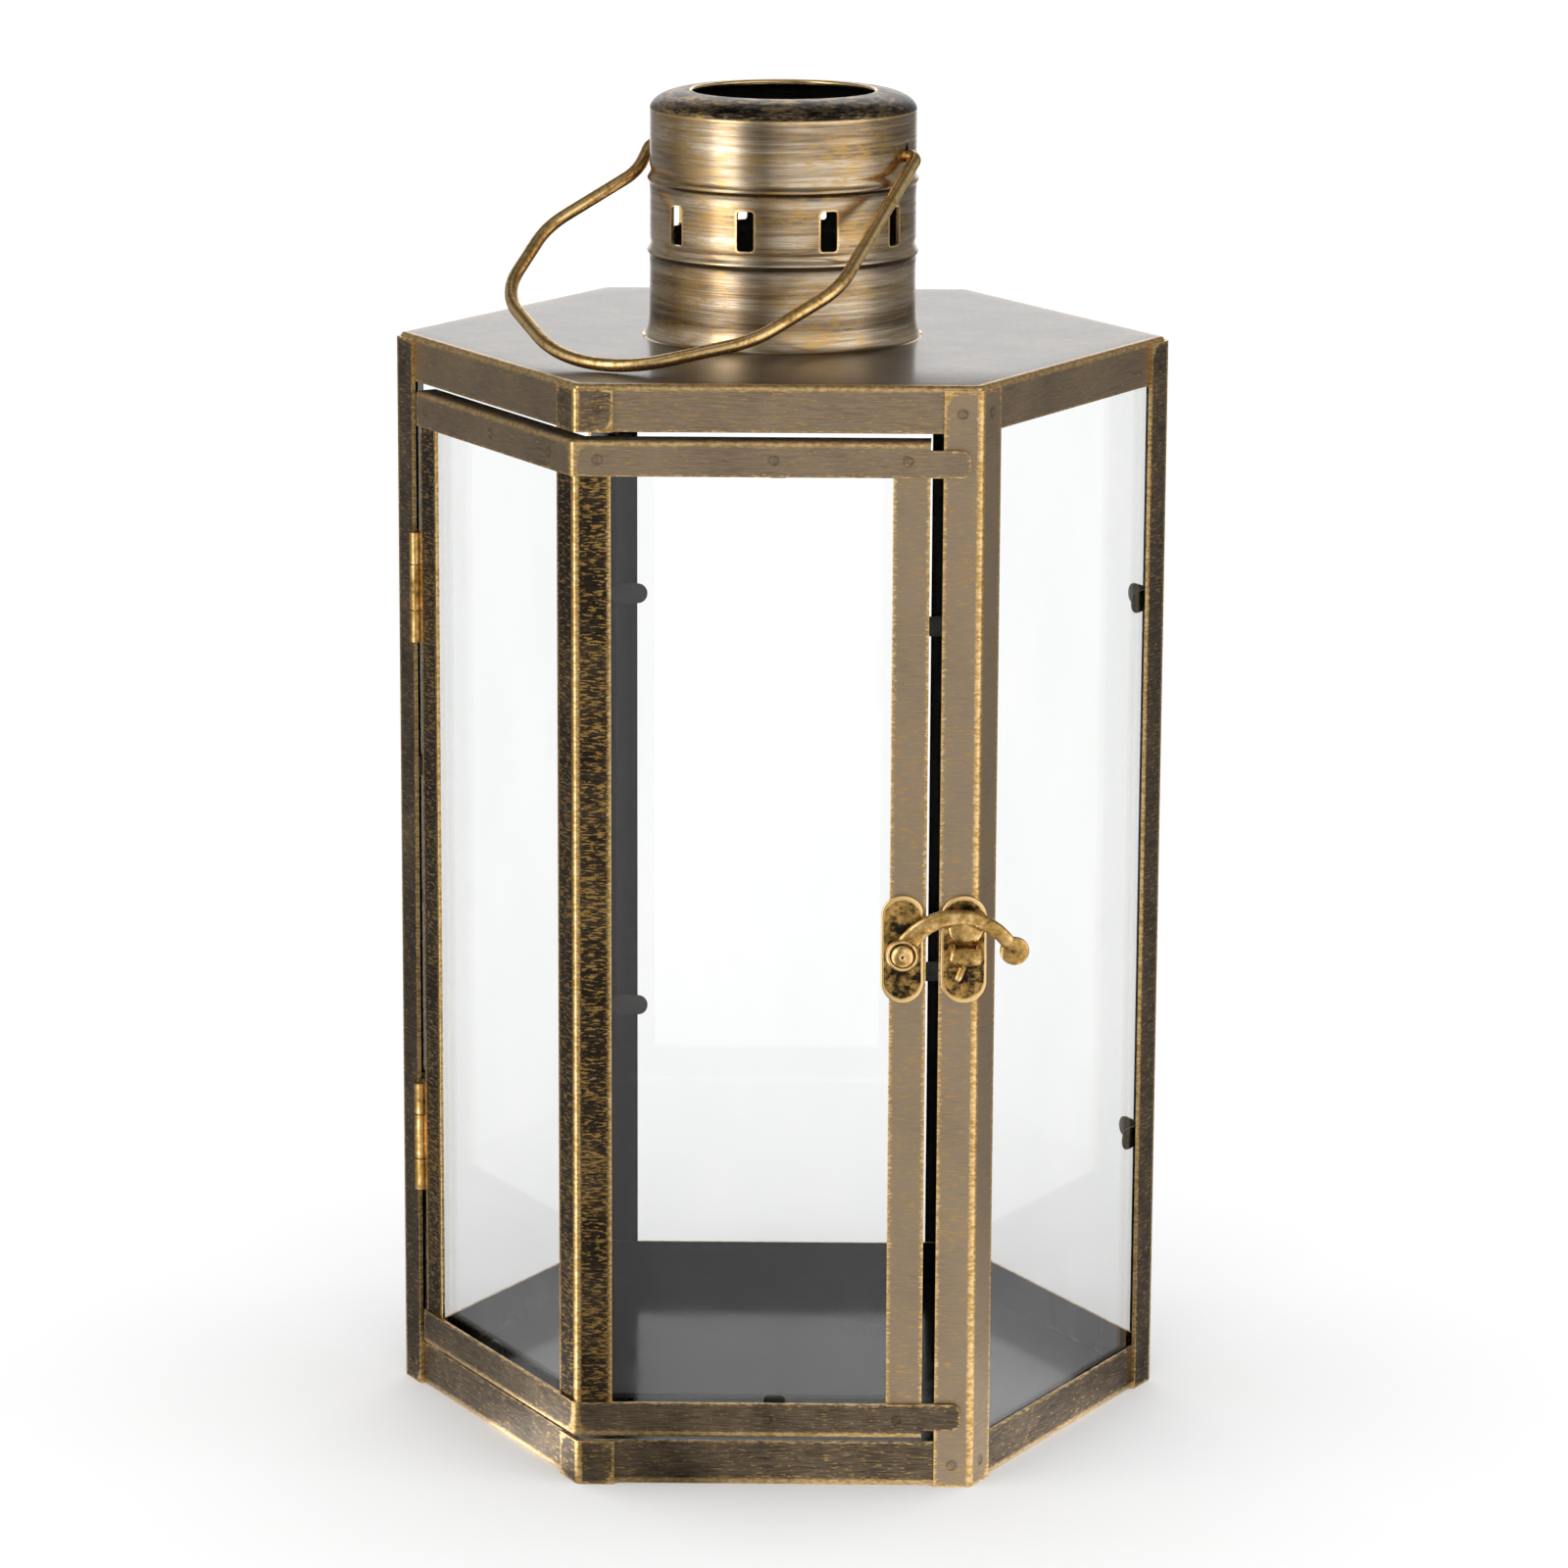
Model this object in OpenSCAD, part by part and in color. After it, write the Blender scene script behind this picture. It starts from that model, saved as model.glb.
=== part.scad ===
// Hexagonal candle lantern: folded sheet-metal frame with glass sides, a wrap-round
// glazed door on two butt hinges with a swing-arm latch, a slotted chimney and a wire
// handle. Origin at the centre of the base, +Z up, front face towards -Y.

/* [Body] */
// Width of each of the six faces, corner to corner over the posts
side_w = 90; // [80:1:130]
// Height from the base to the top of the roof
body_h = 254.4; // [200:0.2:360]
// Thickness of the folded sheet metal
sheet = 0.8; // [0.6:0.05:1]
// Height of the folded rim round the base
base_rim_h = 10.4; // [8:0.1:16]
// Depth of the folded rim under the roof
roof_rim_h = 10.7; // [8:0.1:16]
// Outer radius of the folded corners of the posts
bend_r = 1.2; // [1.05:0.05:2]

/* [Posts] */
// Width of each leg of a corner post
post_leg = 8.5; // [6:0.1:12]
// How far the post tops stop below the top of the roof
post_drop = 1; // [0.5:0.1:3]
// Height of the round-ended tongues that hold the glass
tongue_h = 5; // [3:0.1:8]
// How far a tongue reaches past the edge of its post leg
tongue_reach = 2.6; // [1:0.1:5]
// Thickness of the web that joins a pair of tongues to its post
web_t = 1.2; // [0.8:0.1:1.4]

/* [Glass] */
// Thickness of the panes
glass_t = 2; // [1.5:0.1:2.5]
// Distance from a pane's vertical edge to the outer corner of the body
glass_edge = 3.5; // [3.3:0.1:5]

/* [Door] */
// Clearance of the door in front of the body's outer face
door_gap = 0.3; // [0.2:0.05:0.6]
// Width of the door's strips
strip_w = 8.2; // [6:0.1:11]
// Gap above and below the door, to the roof and base rims
door_end_gap = 1.4; // [1:0.1:3]
// Distance from the hinge-side corner to the door's edge
hinge_edge = 12.8; // [12.4:0.1:16]
// Distance from the lock-side corner to the door's edge
lock_edge = 11.4; // [10.5:0.1:15]
// Distance from the lock-side corner to the round ends of the rails
rail_end = 2.6; // [2.4:0.1:6]
// How much lower the rail ends are than the folded part of the rails
rail_step = 2; // [0.5:0.1:3]
// Corner radius of the rail ends
rail_end_r = 2; // [0.5:0.1:3]
// Width of the glass tongues on the rails
rail_tongue_w = 5; // [3:0.1:8]
// How far the rail tongues reach past the edge of the rail
rail_tongue_reach = 0.8; // [0.2:0.1:3]

/* [Hinges] */
// Height of a hinge
hinge_h = 26; // [20:0.5:36]
// Height of its middle knuckle
knuckle_h = 10.6; // [7:0.1:14]
// Gap between two knuckles
knuckle_gap = 0.3; // [0.2:0.05:0.6]
// Outer radius of the knuckles
knuckle_r = 1.5; // [1.3:0.05:1.6]
// Radius of the hinge pin
pin_r = 0.75; // [0.5:0.05:0.8]
// Running clearance round the pin
pin_gap = 0.05; // [0.03:0.01:0.1]
// Thickness of the hinge leaves
leaf_t = 0.6; // [0.4:0.05:0.7]
// Width of a leaf from the pin's axis
leaf_w = 7.5; // [6:0.1:8]
// Distance from the hinge-side corner to the pin's axis
pin_edge = 10.3; // [10.1:0.1:10.8]
// Distance of the pin's axis in front of the body's outer face
pin_proud = 0.35; // [0.2:0.05:0.6]
// From the top of the door down to the middle of the upper hinge
upper_hinge_drop = 46.7; // [20:0.1:70]
// From the bottom of the door up to the middle of the lower hinge
lower_hinge_rise = 50.7; // [20:0.1:70]

/* [Latch] */
// Thickness of the latch plates
plate_t = 0.8; // [0.5:0.05:1]
// Width of the plate on the door
door_plate_w = 9.6; // [8:0.1:12]
// Width of the plate on the post
frame_plate_w = 10.4; // [8:0.1:12]
// Height of both plates
plate_h = 24.9; // [20:0.1:32]
// Centre of the door plate, in from the door's free end
door_plate_in = 5.3; // [4:0.1:20]
// Centre of the frame plate, in from the corner of the body
frame_plate_in = 2.95; // [0:0.05:10]
// Height of the plates' centre above the middle of the door
latch_rise = 0; // [-30:0.1:30]
// How far the arm's pivot is below the plates' centre
pivot_drop = 1; // [0:0.1:4]
// Thickness of the arm
arm_t = 2; // [1.2:0.1:3]
// Gap between the arm and the door plate
arm_gap = 0.2; // [0.1:0.05:0.4]
// Radius of the arm's eye
eye_r = 3.8; // [3:0.1:4.5]
// Radius of the arm's ball end
ball_r = 3.35; // [2.5:0.05:4]
// Width of the arm
arm_w = 3.4; // [2.5:0.1:5]
// Radius of the rivet's shank
rivet_r = 1.2; // [0.8:0.05:1.6]
// Radius of the rivet's head
rivet_head_r = 2.55; // [2:0.05:3]
// Length of the keeper
keeper_l = 8; // [6:0.1:9]
// Radius of the keeper at its middle
keeper_r = 2.75; // [2:0.05:3.2]
// Gap between the keeper's horns and the arm's tooth
tooth_gap = 0.2; // [0.15:0.05:0.5]

/* [Chimney] */
// Outer radius of the chimney's wall
chimney_r = 30.9; // [27:0.1:34]
// Height of the chimney above the roof
chimney_h = 56.9; // [50:0.1:75]
// Height of its domed shoulder
dome_h = 4.4; // [3:0.1:8]
// Radius of the opening at the top
mouth_r = 21.7; // [15:0.1:25]
// Radius of the flared foot
foot_r = 32.6; // [31:0.1:36]
// Height of the flare
flare_h = 5.6; // [3:0.1:8]
// How far the two beads stand out of the wall
bead_proud = 0.6; // [0.3:0.05:1]
// Radius of the beads' section
bead_r = 1.6; // [1:0.1:2.4]
// Height of the lower bead above the roof
lower_bead_z = 19.8; // [15:0.1:24]
// Height of the upper bead above the roof
upper_bead_z = 36.6; // [33:0.1:40]
// Number of air slots
slots = 10; // [6:1:12]
// Width of a slot
slot_w = 4; // [3:0.1:5]
// Height of a slot
slot_h = 9.2; // [6:0.1:10]
// Corner radius of a slot
slot_r = 0.8; // [0.3:0.1:1.5]
// Height of the slots' centre above the roof
slot_z = 27.6; // [26:0.1:29]
// Direction of the first slot, from the front towards the right
slot_turn = 20.4; // [0:0.1:36]
// Number of tabs that hold the chimney in the roof
tabs = 2; // [2:1:6]
// Width of a tab
tab_w = 5; // [3:0.1:8]
// Direction of the first tab, from the front towards the right
tab_turn = 95; // [0:1:180]
// Clearance round a tab in its slit
tab_gap = 0.2; // [0.1:0.05:0.4]
// Radius of the hole in the roof under the chimney
roof_hole_r = 28; // [24:0.1:30]

/* [Handle] */
// Diameter of the wire
wire_d = 3; // [2.5:0.1:4]
// Height of the pivot holes above the roof
pivot_z = 43.1; // [40:0.1:46]
// Clearance of the wire in its holes
pivot_gap = 0.1; // [0.05:0.01:0.1]
// Height of the pointed top of a pivot hole above the wire's axis
hole_peak = 3.4; // [2.5:0.1:5]
// Turn of the pivot axis about the vertical
handle_turn = -23; // [-40:1:40]
// Reach of the loop from the pivot axis, before its bottom bend is rounded
loop_reach = 88; // [80:0.5:110]
// Radius of the loop's bottom bend
loop_r = 30; // [20:0.5:34]
// Gap left under the loop where it lies on the roof
lay_gap = 0.15; // [0.1:0.05:0.3]

/* [Hidden] */
$fn = 48;

// Colours of the finishes
brass = "#7d6a4c";
dark_brass = "#54432c";
bright_brass = "#a8884e";
pane = "#cfd8d6";

// A little extra for cuts that run right through
cut = 1;
// Overlap of pieces that make one solid
join = 0.01;
// Flats that make up the round of a 60 degree fold
fold_steps = 5;

// Faces are numbered anticlockwise from the front; a corner has the number of the face
// on its left
front = 0;
front_right = 1;
back_right = 2;
back = 3;
back_left = 4;
front_left = 5;

// Distance from the centre to the outer face of the posts
apothem = side_w * cos(30);
half_side = side_w / 2;
// The rims stand inside the posts, and the fixed panes inside the rims
rim_apothem = apothem - sheet;
rim_bend_r = bend_r + 0.2;
pane_apothem = rim_apothem - sheet;
tongue_apothem = pane_apothem - glass_t;
post_top = body_h - post_drop;
roof_rim_z = body_h - roof_rim_h;

// Planes of the door: its strips, the rails in front of them and the glass behind
strip_apothem = apothem + door_gap;
rail_apothem = strip_apothem + sheet;
door_pane_apothem = strip_apothem - sheet - leaf_t;
door_tongue_apothem = door_pane_apothem - glass_t;
door_z0 = base_rim_h + door_end_gap;
door_z1 = roof_rim_z - door_end_gap;
door_mid = (door_z0 + door_z1) / 2;
// Ends of the door along the front-left and the front face
door_left = -half_side + hinge_edge;
door_right = half_side - lock_edge;
door_plate_x = door_right - door_plate_in;
frame_plate_x = half_side - frame_plate_in;
// Distance along a face from its centre to the door strips' own corner
strip_corner = strip_apothem * tan(30);

// Height of each post's lower and upper tongue, from the base and from the roof
tongue_rise = [62, 82, 73, 73, 72];
tongue_fall = [62, 84, 76, 104, 74];

// Hinge pins
pin_x = -half_side + pin_edge;
pin_apothem = apothem + pin_proud;
upper_hinge_z = door_z1 - upper_hinge_drop;
lower_hinge_z = door_z0 + lower_hinge_rise;

// Latch
latch_z = door_mid + latch_rise;
pivot_latch_z = latch_z - pivot_drop;
door_plate_apothem = strip_apothem + plate_t;
frame_plate_apothem = apothem + plate_t;
arm_apothem = door_plate_apothem + arm_gap + arm_t;
// The arm's outline runs from the eye over the keeper to the ball end
arm_rise = 8.2;
arm_run = 25.1;
arm_end_rise = 1.2;
keeper_x = frame_plate_x + 0.4;
keeper_z = latch_z - 0.6;
keeper_depth = 1.9;
keeper_flat_z = keeper_z + keeper_r - 1.1;
horn_top_z = keeper_z + keeper_r - 0.3;
tooth_z = horn_top_z + tooth_gap;

// Chimney
roof_z = body_h;
mouth_lip_r = 0.6;

// Handle: the loop lies in a plane through the pivot axis; its corners are given as
// distance along the axis and distance from it, and each is rounded to its own radius
arm_x = chimney_r + 2.6;
end_bend_r = 2.3;
loop_points = [
    [-chimney_r + 3.5, 0], [-arm_x, 0], [-arm_x + 0.9, 11.5], [-arm_x - 13, 34],
    [-arm_x - 13.5, 59.5], [-17, loop_reach], [19.5, loop_reach - 18], [arm_x - 0.9, 50],
    [arm_x, 0], [chimney_r - 3.5, 0]
];
loop_radii = [0, end_bend_r, 12, 20, 20, loop_r, 20, 20, end_bend_r, 0];
wire_r = wire_d / 2;
// Sides of the wire's section, and degrees of a bend between two of its rings
wire_sides = 16;
wire_step = 9;
pivot_height = roof_z + pivot_z;

// Unit vector, turn angle and rounding of the loop's corners
function unit(v) = v / norm(v);
function to_last(i) = unit(loop_points[i - 1] - loop_points[i]);
function to_next(i) = unit(loop_points[i + 1] - loop_points[i]);
function corner_angle(i) = acos(to_last(i) * to_next(i));
function tangent(i) = loop_radii[i] == 0 ? 0 : loop_radii[i] / tan(corner_angle(i) / 2);
function arc_centre(i) =
    loop_points[i] + unit(to_last(i) + to_next(i)) * loop_radii[i] / sin(corner_angle(i) / 2);
function cross_z(a, b) = a[0] * b[1] - a[1] * b[0];
// The loop's lowest line is the far side of its bottom bend
loop_depth = arc_centre(5)[1] + loop_r;
lay_angle = asin((pivot_z - wire_r - lay_gap) / loop_depth);

// ---- placing ----

module at_face(i) rotate([0, 0, 60 * i]) children();

// ---- shared outlines ----

// Point turned about the centre
function turned(p, a) = [p[0] * cos(a) - p[1] * sin(a), p[0] * sin(a) + p[1] * cos(a)];

// Arc of a fold at the right-hand corner of the front face: the outer plane and outer
// radius of the fold, and the radius of the arc about its centre
function fold_arc(plane, outer_r, r) = [for (k = [0:fold_steps])
    let (a = -90 + 60 * k / fold_steps)
    [(plane - outer_r) * tan(30) + r * cos(a), outer_r - plane + r * sin(a)]];

// A strip folded over that corner: the plane it lies on, its thickness, its reach along
// each face from the centre of that face, and the outer radius of its fold
module folded_strip(plane, thick, from_x, to_x, outer_r) {
    inner = thick < outer_r ? fold_arc(plane, outer_r, outer_r - thick)
        : [[(plane - thick) * tan(30), thick - plane]];
    polygon(concat(
        [[from_x, -plane]],
        fold_arc(plane, outer_r, outer_r),
        [turned([to_x, -plane], 60), turned([to_x, thick - plane], 60)],
        [for (i = [len(inner) - 1:-1:0]) inner[i]],
        [[from_x, thick - plane]]
    ));
}

// Angle section of a corner post or bracket
module angle_section(plane, leg, outer_r) {
    reach = plane * tan(30) - leg;
    folded_strip(plane, sheet, reach, -reach, outer_r);
}

// Hexagon with round corners
module round_hexagon(plane, outer_r)
    polygon([for (i = [0:5], p = fold_arc(plane, outer_r, outer_r)) turned(p, 60 * i)]);

// Rectangle with round corners, about its centre
module round_rectangle(size, r) {
    square([size[0] - 2 * r, size[1]], center = true);
    square([size[0], size[1] - 2 * r], center = true);
    for (x = [-1, 1], y = [-1, 1]) translate([x * (size[0] / 2 - r), y * (size[1] / 2 - r)]) circle(r);
}

// A flat piece on a face: outline in the face's own width and height, from the plane
// inwards by thick
module flat_on_face(plane, thick)
    translate([0, thick - plane, 0]) rotate([90, 0, 0]) linear_extrude(thick) children();

// ---- body ----

module hexagonal_tray(height) {
    difference() {
        linear_extrude(height) round_hexagon(rim_apothem, rim_bend_r);
        translate([0, 0, sheet]) linear_extrude(height)
            round_hexagon(rim_apothem - sheet, rim_bend_r - sheet);
    }
}

module base_pan() color(brass) hexagonal_tray(base_rim_h);

module tab_places() for (i = [0:tabs - 1]) rotate([0, 0, tab_turn + i * 360 / tabs]) children();

module roof_cap() color(brass) difference() {
    translate([0, 0, body_h]) mirror([0, 0, 1]) hexagonal_tray(roof_rim_h);
    translate([0, 0, body_h - sheet - cut]) cylinder(h = sheet + 2 * cut, r = roof_hole_r);
    tab_places() translate([-tab_w / 2 - tab_gap, -foot_r - tab_gap, body_h - sheet - cut])
        cube([tab_w + 2 * tab_gap, sheet + 2 * tab_gap, sheet + 2 * cut]);
}

// Tongue on the inside of a pane: a round-ended strip along one face
module tongue(z, side) {
    tip = half_side - post_leg - tongue_reach;
    root = tongue_apothem * tan(30);
    mirror([side < 0 ? 1 : 0, 0, 0]) flat_on_face(tongue_apothem, sheet) {
        translate([tip + tongue_h / 2, z - tongue_h / 2]) square([root - tip - tongue_h / 2, tongue_h]);
        translate([tip + tongue_h / 2, z]) circle(tongue_h / 2);
    }
}

// Corner post with its tongues: left is the wing on the face to its left, right the other
module post(corner, tongues_z, left, right) {
    at_face(corner) {
        linear_extrude(post_top) angle_section(apothem, post_leg, bend_r);
        for (z = tongues_z) {
            if (left) tongue(z, 1);
            if (right) rotate([0, 0, 60]) tongue(z, -1);
            rotate([0, 0, -60])
                translate([tongue_apothem / cos(30) - sheet, -web_t / 2, z - tongue_h / 2])
                cube([(apothem - tongue_apothem - sheet / 2) / cos(30) + sheet, web_t, tongue_h]);
        }
    }
}

function tongue_heights(i) = [tongue_rise[i], body_h - tongue_fall[i]];

module post_front_right() color(brass) post(front, tongue_heights(4), false, true);
module post_right() color(brass) post(front_right, tongue_heights(0), true, true);
module post_back_right() color(brass) post(back_right, tongue_heights(1), true, true);
module post_back_left() color(brass) post(back, tongue_heights(2), true, true);
module post_left() color(brass) post(back_left, tongue_heights(3), true, false);

module bracket(z, height) {
    translate([0, 0, z]) at_face(front_left) linear_extrude(height)
        angle_section(apothem, post_leg, bend_r);
}

module corner_bracket_top() color(brass) bracket(roof_rim_z, post_top - roof_rim_z);
module corner_bracket_bottom() color(brass) bracket(0, base_rim_h);

// ---- fixed glass ----

module fixed_pane(face) {
    width = side_w - 2 * glass_edge;
    at_face(face) translate([-width / 2, -pane_apothem, sheet])
        cube([width, glass_t, body_h - 2.5 * sheet]);
}

module glass_front_right() color(pane) fixed_pane(front_right);
module glass_back_right() color(pane) fixed_pane(back_right);
module glass_back() color(pane) fixed_pane(back);
module glass_back_left() color(pane) fixed_pane(back_left);

// ---- door ----

stile_z0 = door_z0 + sheet;
stile_h = door_z1 - door_z0 - 2 * sheet;

module door_stile(face, x)
    at_face(face) translate([x, -strip_apothem, stile_z0]) cube([strip_w, sheet, stile_h]);

module door_hinge_stile() color(brass) door_stile(front_left, door_left);
module door_lock_stile() color(brass) difference() {
    door_stile(front, door_right - strip_w);
    rivet_hole();
}
module door_corner_stile() color(dark_brass) translate([0, 0, stile_z0]) at_face(front_left)
    linear_extrude(stile_h) angle_section(strip_apothem, strip_w, bend_r);

// What is cut from a rail's free end, which laps the post, to leave it round
module rail_end_waste() {
    end_x = half_side - rail_end;
    translate([door_right, -cut]) square([end_x - door_right + cut, rail_step + cut]);
    for (y = [rail_step + rail_end_r, strip_w - rail_end_r], up = y > strip_w / 2 ? 1 : 0)
        difference() {
            translate([end_x - rail_end_r, y - (1 - up) * (rail_end_r + cut)])
                square(rail_end_r + cut);
            translate([end_x - rail_end_r, y]) circle(rail_end_r);
        }
}

// A rail, standing on z = 0 with its folded lip and tongues at the bottom
module door_rail() {
    lip_d = rail_apothem - door_tongue_apothem;
    rail_bend_r = bend_r + sheet - 0.4;
    tongue_top = strip_w + rail_tongue_reach;
    difference() {
        at_face(front_left) translate([0, 0, sheet]) linear_extrude(strip_w - sheet)
            folded_strip(rail_apothem, sheet, door_left, half_side - rail_end, rail_bend_r);
        flat_on_face(rail_apothem + cut, sheet + 2 * cut) rail_end_waste();
    }
    at_face(front_left) linear_extrude(sheet)
        folded_strip(rail_apothem, lip_d, door_left, door_right, rail_bend_r);
    for (face = [front, front_left]) at_face(face)
        translate([-rail_tongue_w / 2, -door_tongue_apothem, 0])
        cube([rail_tongue_w, sheet, tongue_top]);
}

module door_bottom_rail() color(brass) translate([0, 0, door_z0]) door_rail();
module door_top_rail() color(brass) translate([0, 0, door_z1]) mirror([0, 0, 1]) door_rail();

module door_pane(face, x0, x1)
    at_face(face) translate([x0, -door_pane_apothem, stile_z0]) cube([x1 - x0, glass_t, stile_h]);

module door_glass_side() color(pane) door_pane(front_left, door_left, strip_corner - glass_edge);
module door_glass_front() color(pane) door_pane(front, glass_edge - strip_corner, door_right);

// ---- hinges ----

outer_knuckle_h = (hinge_h - knuckle_h) / 2 - knuckle_gap;
// Where a leaf plate starts, clear of the other leaf's knuckles
leaf_start = knuckle_r + 0.5;

module at_hinge(z) at_face(front_left) translate([pin_x, -pin_apothem, z]) children();

module knuckle(z, height) translate([0, 0, z]) difference() {
    cylinder(h = height, r = knuckle_r);
    translate([0, 0, -cut]) cylinder(h = height + 2 * cut, r = pin_r + pin_gap);
}

// Leaf plate behind a strip whose back is at the given depth behind the pin
module leaf(depth, side) mirror([side < 0 ? 1 : 0, 0, 0])
    translate([leaf_start, depth, -hinge_h / 2]) cube([leaf_w - leaf_start, leaf_t, hinge_h]);

// Foot of a knuckle and the strip that joins it to its leaf plate
module knuckle_neck(depth, z, height, side) mirror([side < 0 ? 1 : 0, 0, 0])
    translate([0, 0, z]) {
        translate([0, pin_r + pin_gap, 0])
            cube([knuckle_r, depth + leaf_t - pin_r - pin_gap, height]);
        translate([0, depth, 0]) cube([leaf_start + join, leaf_t, height]);
    }

module hinge_frame_leaf(z) at_hinge(z) {
    depth = pin_proud + sheet;
    for (z0 = [-hinge_h / 2, hinge_h / 2 - outer_knuckle_h]) {
        knuckle(z0, outer_knuckle_h);
        knuckle_neck(depth, z0, outer_knuckle_h, -1);
    }
    leaf(depth, -1);
}

module hinge_door_leaf(z) at_hinge(z) {
    depth = pin_proud + sheet - door_gap;
    knuckle(-knuckle_h / 2, knuckle_h);
    knuckle_neck(depth, -knuckle_h / 2, knuckle_h, 1);
    leaf(depth, 1);
}

module hinge_pin(z) at_hinge(z) translate([0, 0, -hinge_h / 2]) cylinder(h = hinge_h, r = pin_r);

module upper_hinge_frame_leaf() color(bright_brass) hinge_frame_leaf(upper_hinge_z);
module upper_hinge_door_leaf() color(bright_brass) hinge_door_leaf(upper_hinge_z);
module upper_hinge_pin() color(dark_brass) hinge_pin(upper_hinge_z);
module lower_hinge_frame_leaf() color(bright_brass) hinge_frame_leaf(lower_hinge_z);
module lower_hinge_door_leaf() color(bright_brass) hinge_door_leaf(lower_hinge_z);
module lower_hinge_pin() color(dark_brass) hinge_pin(lower_hinge_z);

// ---- latch ----

// Cuts through everything in front of and behind the rivet
module rivet_hole() translate([door_plate_x, -strip_apothem - plate_t - cut, pivot_latch_z])
    rotate([-90, 0, 0]) cylinder(h = plate_t + sheet + 2 * cut, r = rivet_r);

module latch_plate(x, width, plane) flat_on_face(plane, plate_t)
    translate([x, latch_z]) round_rectangle([width, plate_h], width / 2 - 0.05);

module latch_door_plate() color(bright_brass) difference() {
    latch_plate(door_plate_x, door_plate_w, door_plate_apothem);
    rivet_hole();
}
module latch_frame_plate() color(bright_brass)
    latch_plate(frame_plate_x, frame_plate_w, frame_plate_apothem);

// The arm's outline about its pivot: an arched bar between the eye and the ball end, with
// a rounded tooth under it over the keeper
module arm_outline() {
    chord = norm([arm_run, arm_end_rise]);
    arch_r = (chord * chord / 4 + arm_rise * arm_rise) / (2 * arm_rise);
    arch_c = [arm_run / 2, arm_end_rise / 2 + arm_rise - arch_r];
    tooth_c = [keeper_x - door_plate_x, tooth_z - pivot_latch_z + 3.2];
    circle(eye_r);
    translate([arm_run, arm_end_rise]) circle(ball_r);
    intersection() {
        translate(arch_c) difference() {
            circle(arch_r + arm_w / 2, $fn = 96);
            circle(arch_r - arm_w / 2, $fn = 96);
        }
        translate([0, arm_end_rise / 2 - 2]) square([arm_run, arm_rise + arm_w + 2]);
    }
    translate(tooth_c) circle(3.2);
}

module latch_arm() color(bright_brass)
    translate([door_plate_x, 0, pivot_latch_z]) flat_on_face(arm_apothem, arm_t) difference() {
        arm_outline();
        circle(rivet_r + pin_gap);
    }

module latch_rivet() color(bright_brass) {
    head_h = 1.3;
    tail_t = leaf_t - 0.1;
    tail_y = strip_apothem - sheet;
    ball = (rivet_head_r * rivet_head_r + head_h * head_h) / (2 * head_h);
    translate([door_plate_x, 0, pivot_latch_z]) rotate([90, 0, 0]) {
        translate([0, 0, tail_y - tail_t]) cylinder(h = arm_apothem + pin_gap - tail_y + tail_t, r = rivet_r);
        translate([0, 0, tail_y - tail_t]) cylinder(h = tail_t, r = 1.6 * rivet_r);
        translate([0, 0, arm_apothem + pin_gap]) intersection() {
            translate([0, 0, head_h - ball]) sphere(ball);
            cylinder(h = head_h, r = rivet_head_r);
        }
    }
}

// A barrel with a notch between two horns and a tail that hooks into the plate
module latch_keeper() color(bright_brass) translate([keeper_x, 0, 0]) {
    centre_y = -frame_plate_apothem - keeper_depth;
    end_r = keeper_r - 0.35;
    bulge = (keeper_l * keeper_l / 4 + 0.35 * 0.35) / (2 * 0.35);
    difference() {
        union() {
            translate([0, centre_y, keeper_z]) rotate([0, 90, 0]) rotate_extrude()
                intersection() {
                    translate([keeper_r - bulge, 0]) circle(bulge, $fn = 180);
                    translate([0, -keeper_l / 2]) square([keeper_r, keeper_l]);
                }
            translate([-0.1, -frame_plate_apothem - 0.9, keeper_z - keeper_r + 1]) rotate([0, 200, 0])
                cylinder(h = 5.2, r = 0.9);
        }
        translate([-keeper_l, -frame_plate_apothem, keeper_z - 10])
            cube([2 * keeper_l, 10, 20]);
        translate([-0.3 * keeper_l, centre_y - keeper_r - cut, keeper_flat_z])
            cube([0.6 * keeper_l, 2 * (keeper_r + cut), keeper_r]);
        translate([-keeper_l, centre_y - keeper_r - cut, horn_top_z])
            cube([2 * keeper_l, 2 * (keeper_r + cut), keeper_r]);
    }
}

// ---- chimney ----

// Section of the wall, shrunk inwards by inset: flared foot, wall, beads and dome
module chimney_section(inset) {
    top = chimney_h - inset;
    wall = chimney_r - inset;
    mouth = mouth_r;
    flare = foot_r - chimney_r;
    shoulder = wall - mouth;
    polygon([
        [0, 0],
        for (a = [0:15:90]) [foot_r - inset - flare * sin(a), flare_h * (1 - cos(a))],
        for (a = [0:15:90])
            [mouth + shoulder * cos(a), top - dome_h + dome_h * sin(a)],
        [0, top]
    ]);
    for (z = [lower_bead_z, upper_bead_z])
        translate([chimney_r + bead_proud - bead_r, z]) circle(bead_r - inset);
}

module slot_cutter(angle, z) rotate([0, 0, angle]) translate([0, -chimney_r + 3, z])
    rotate([90, 0, 0]) linear_extrude(6) children();

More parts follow.
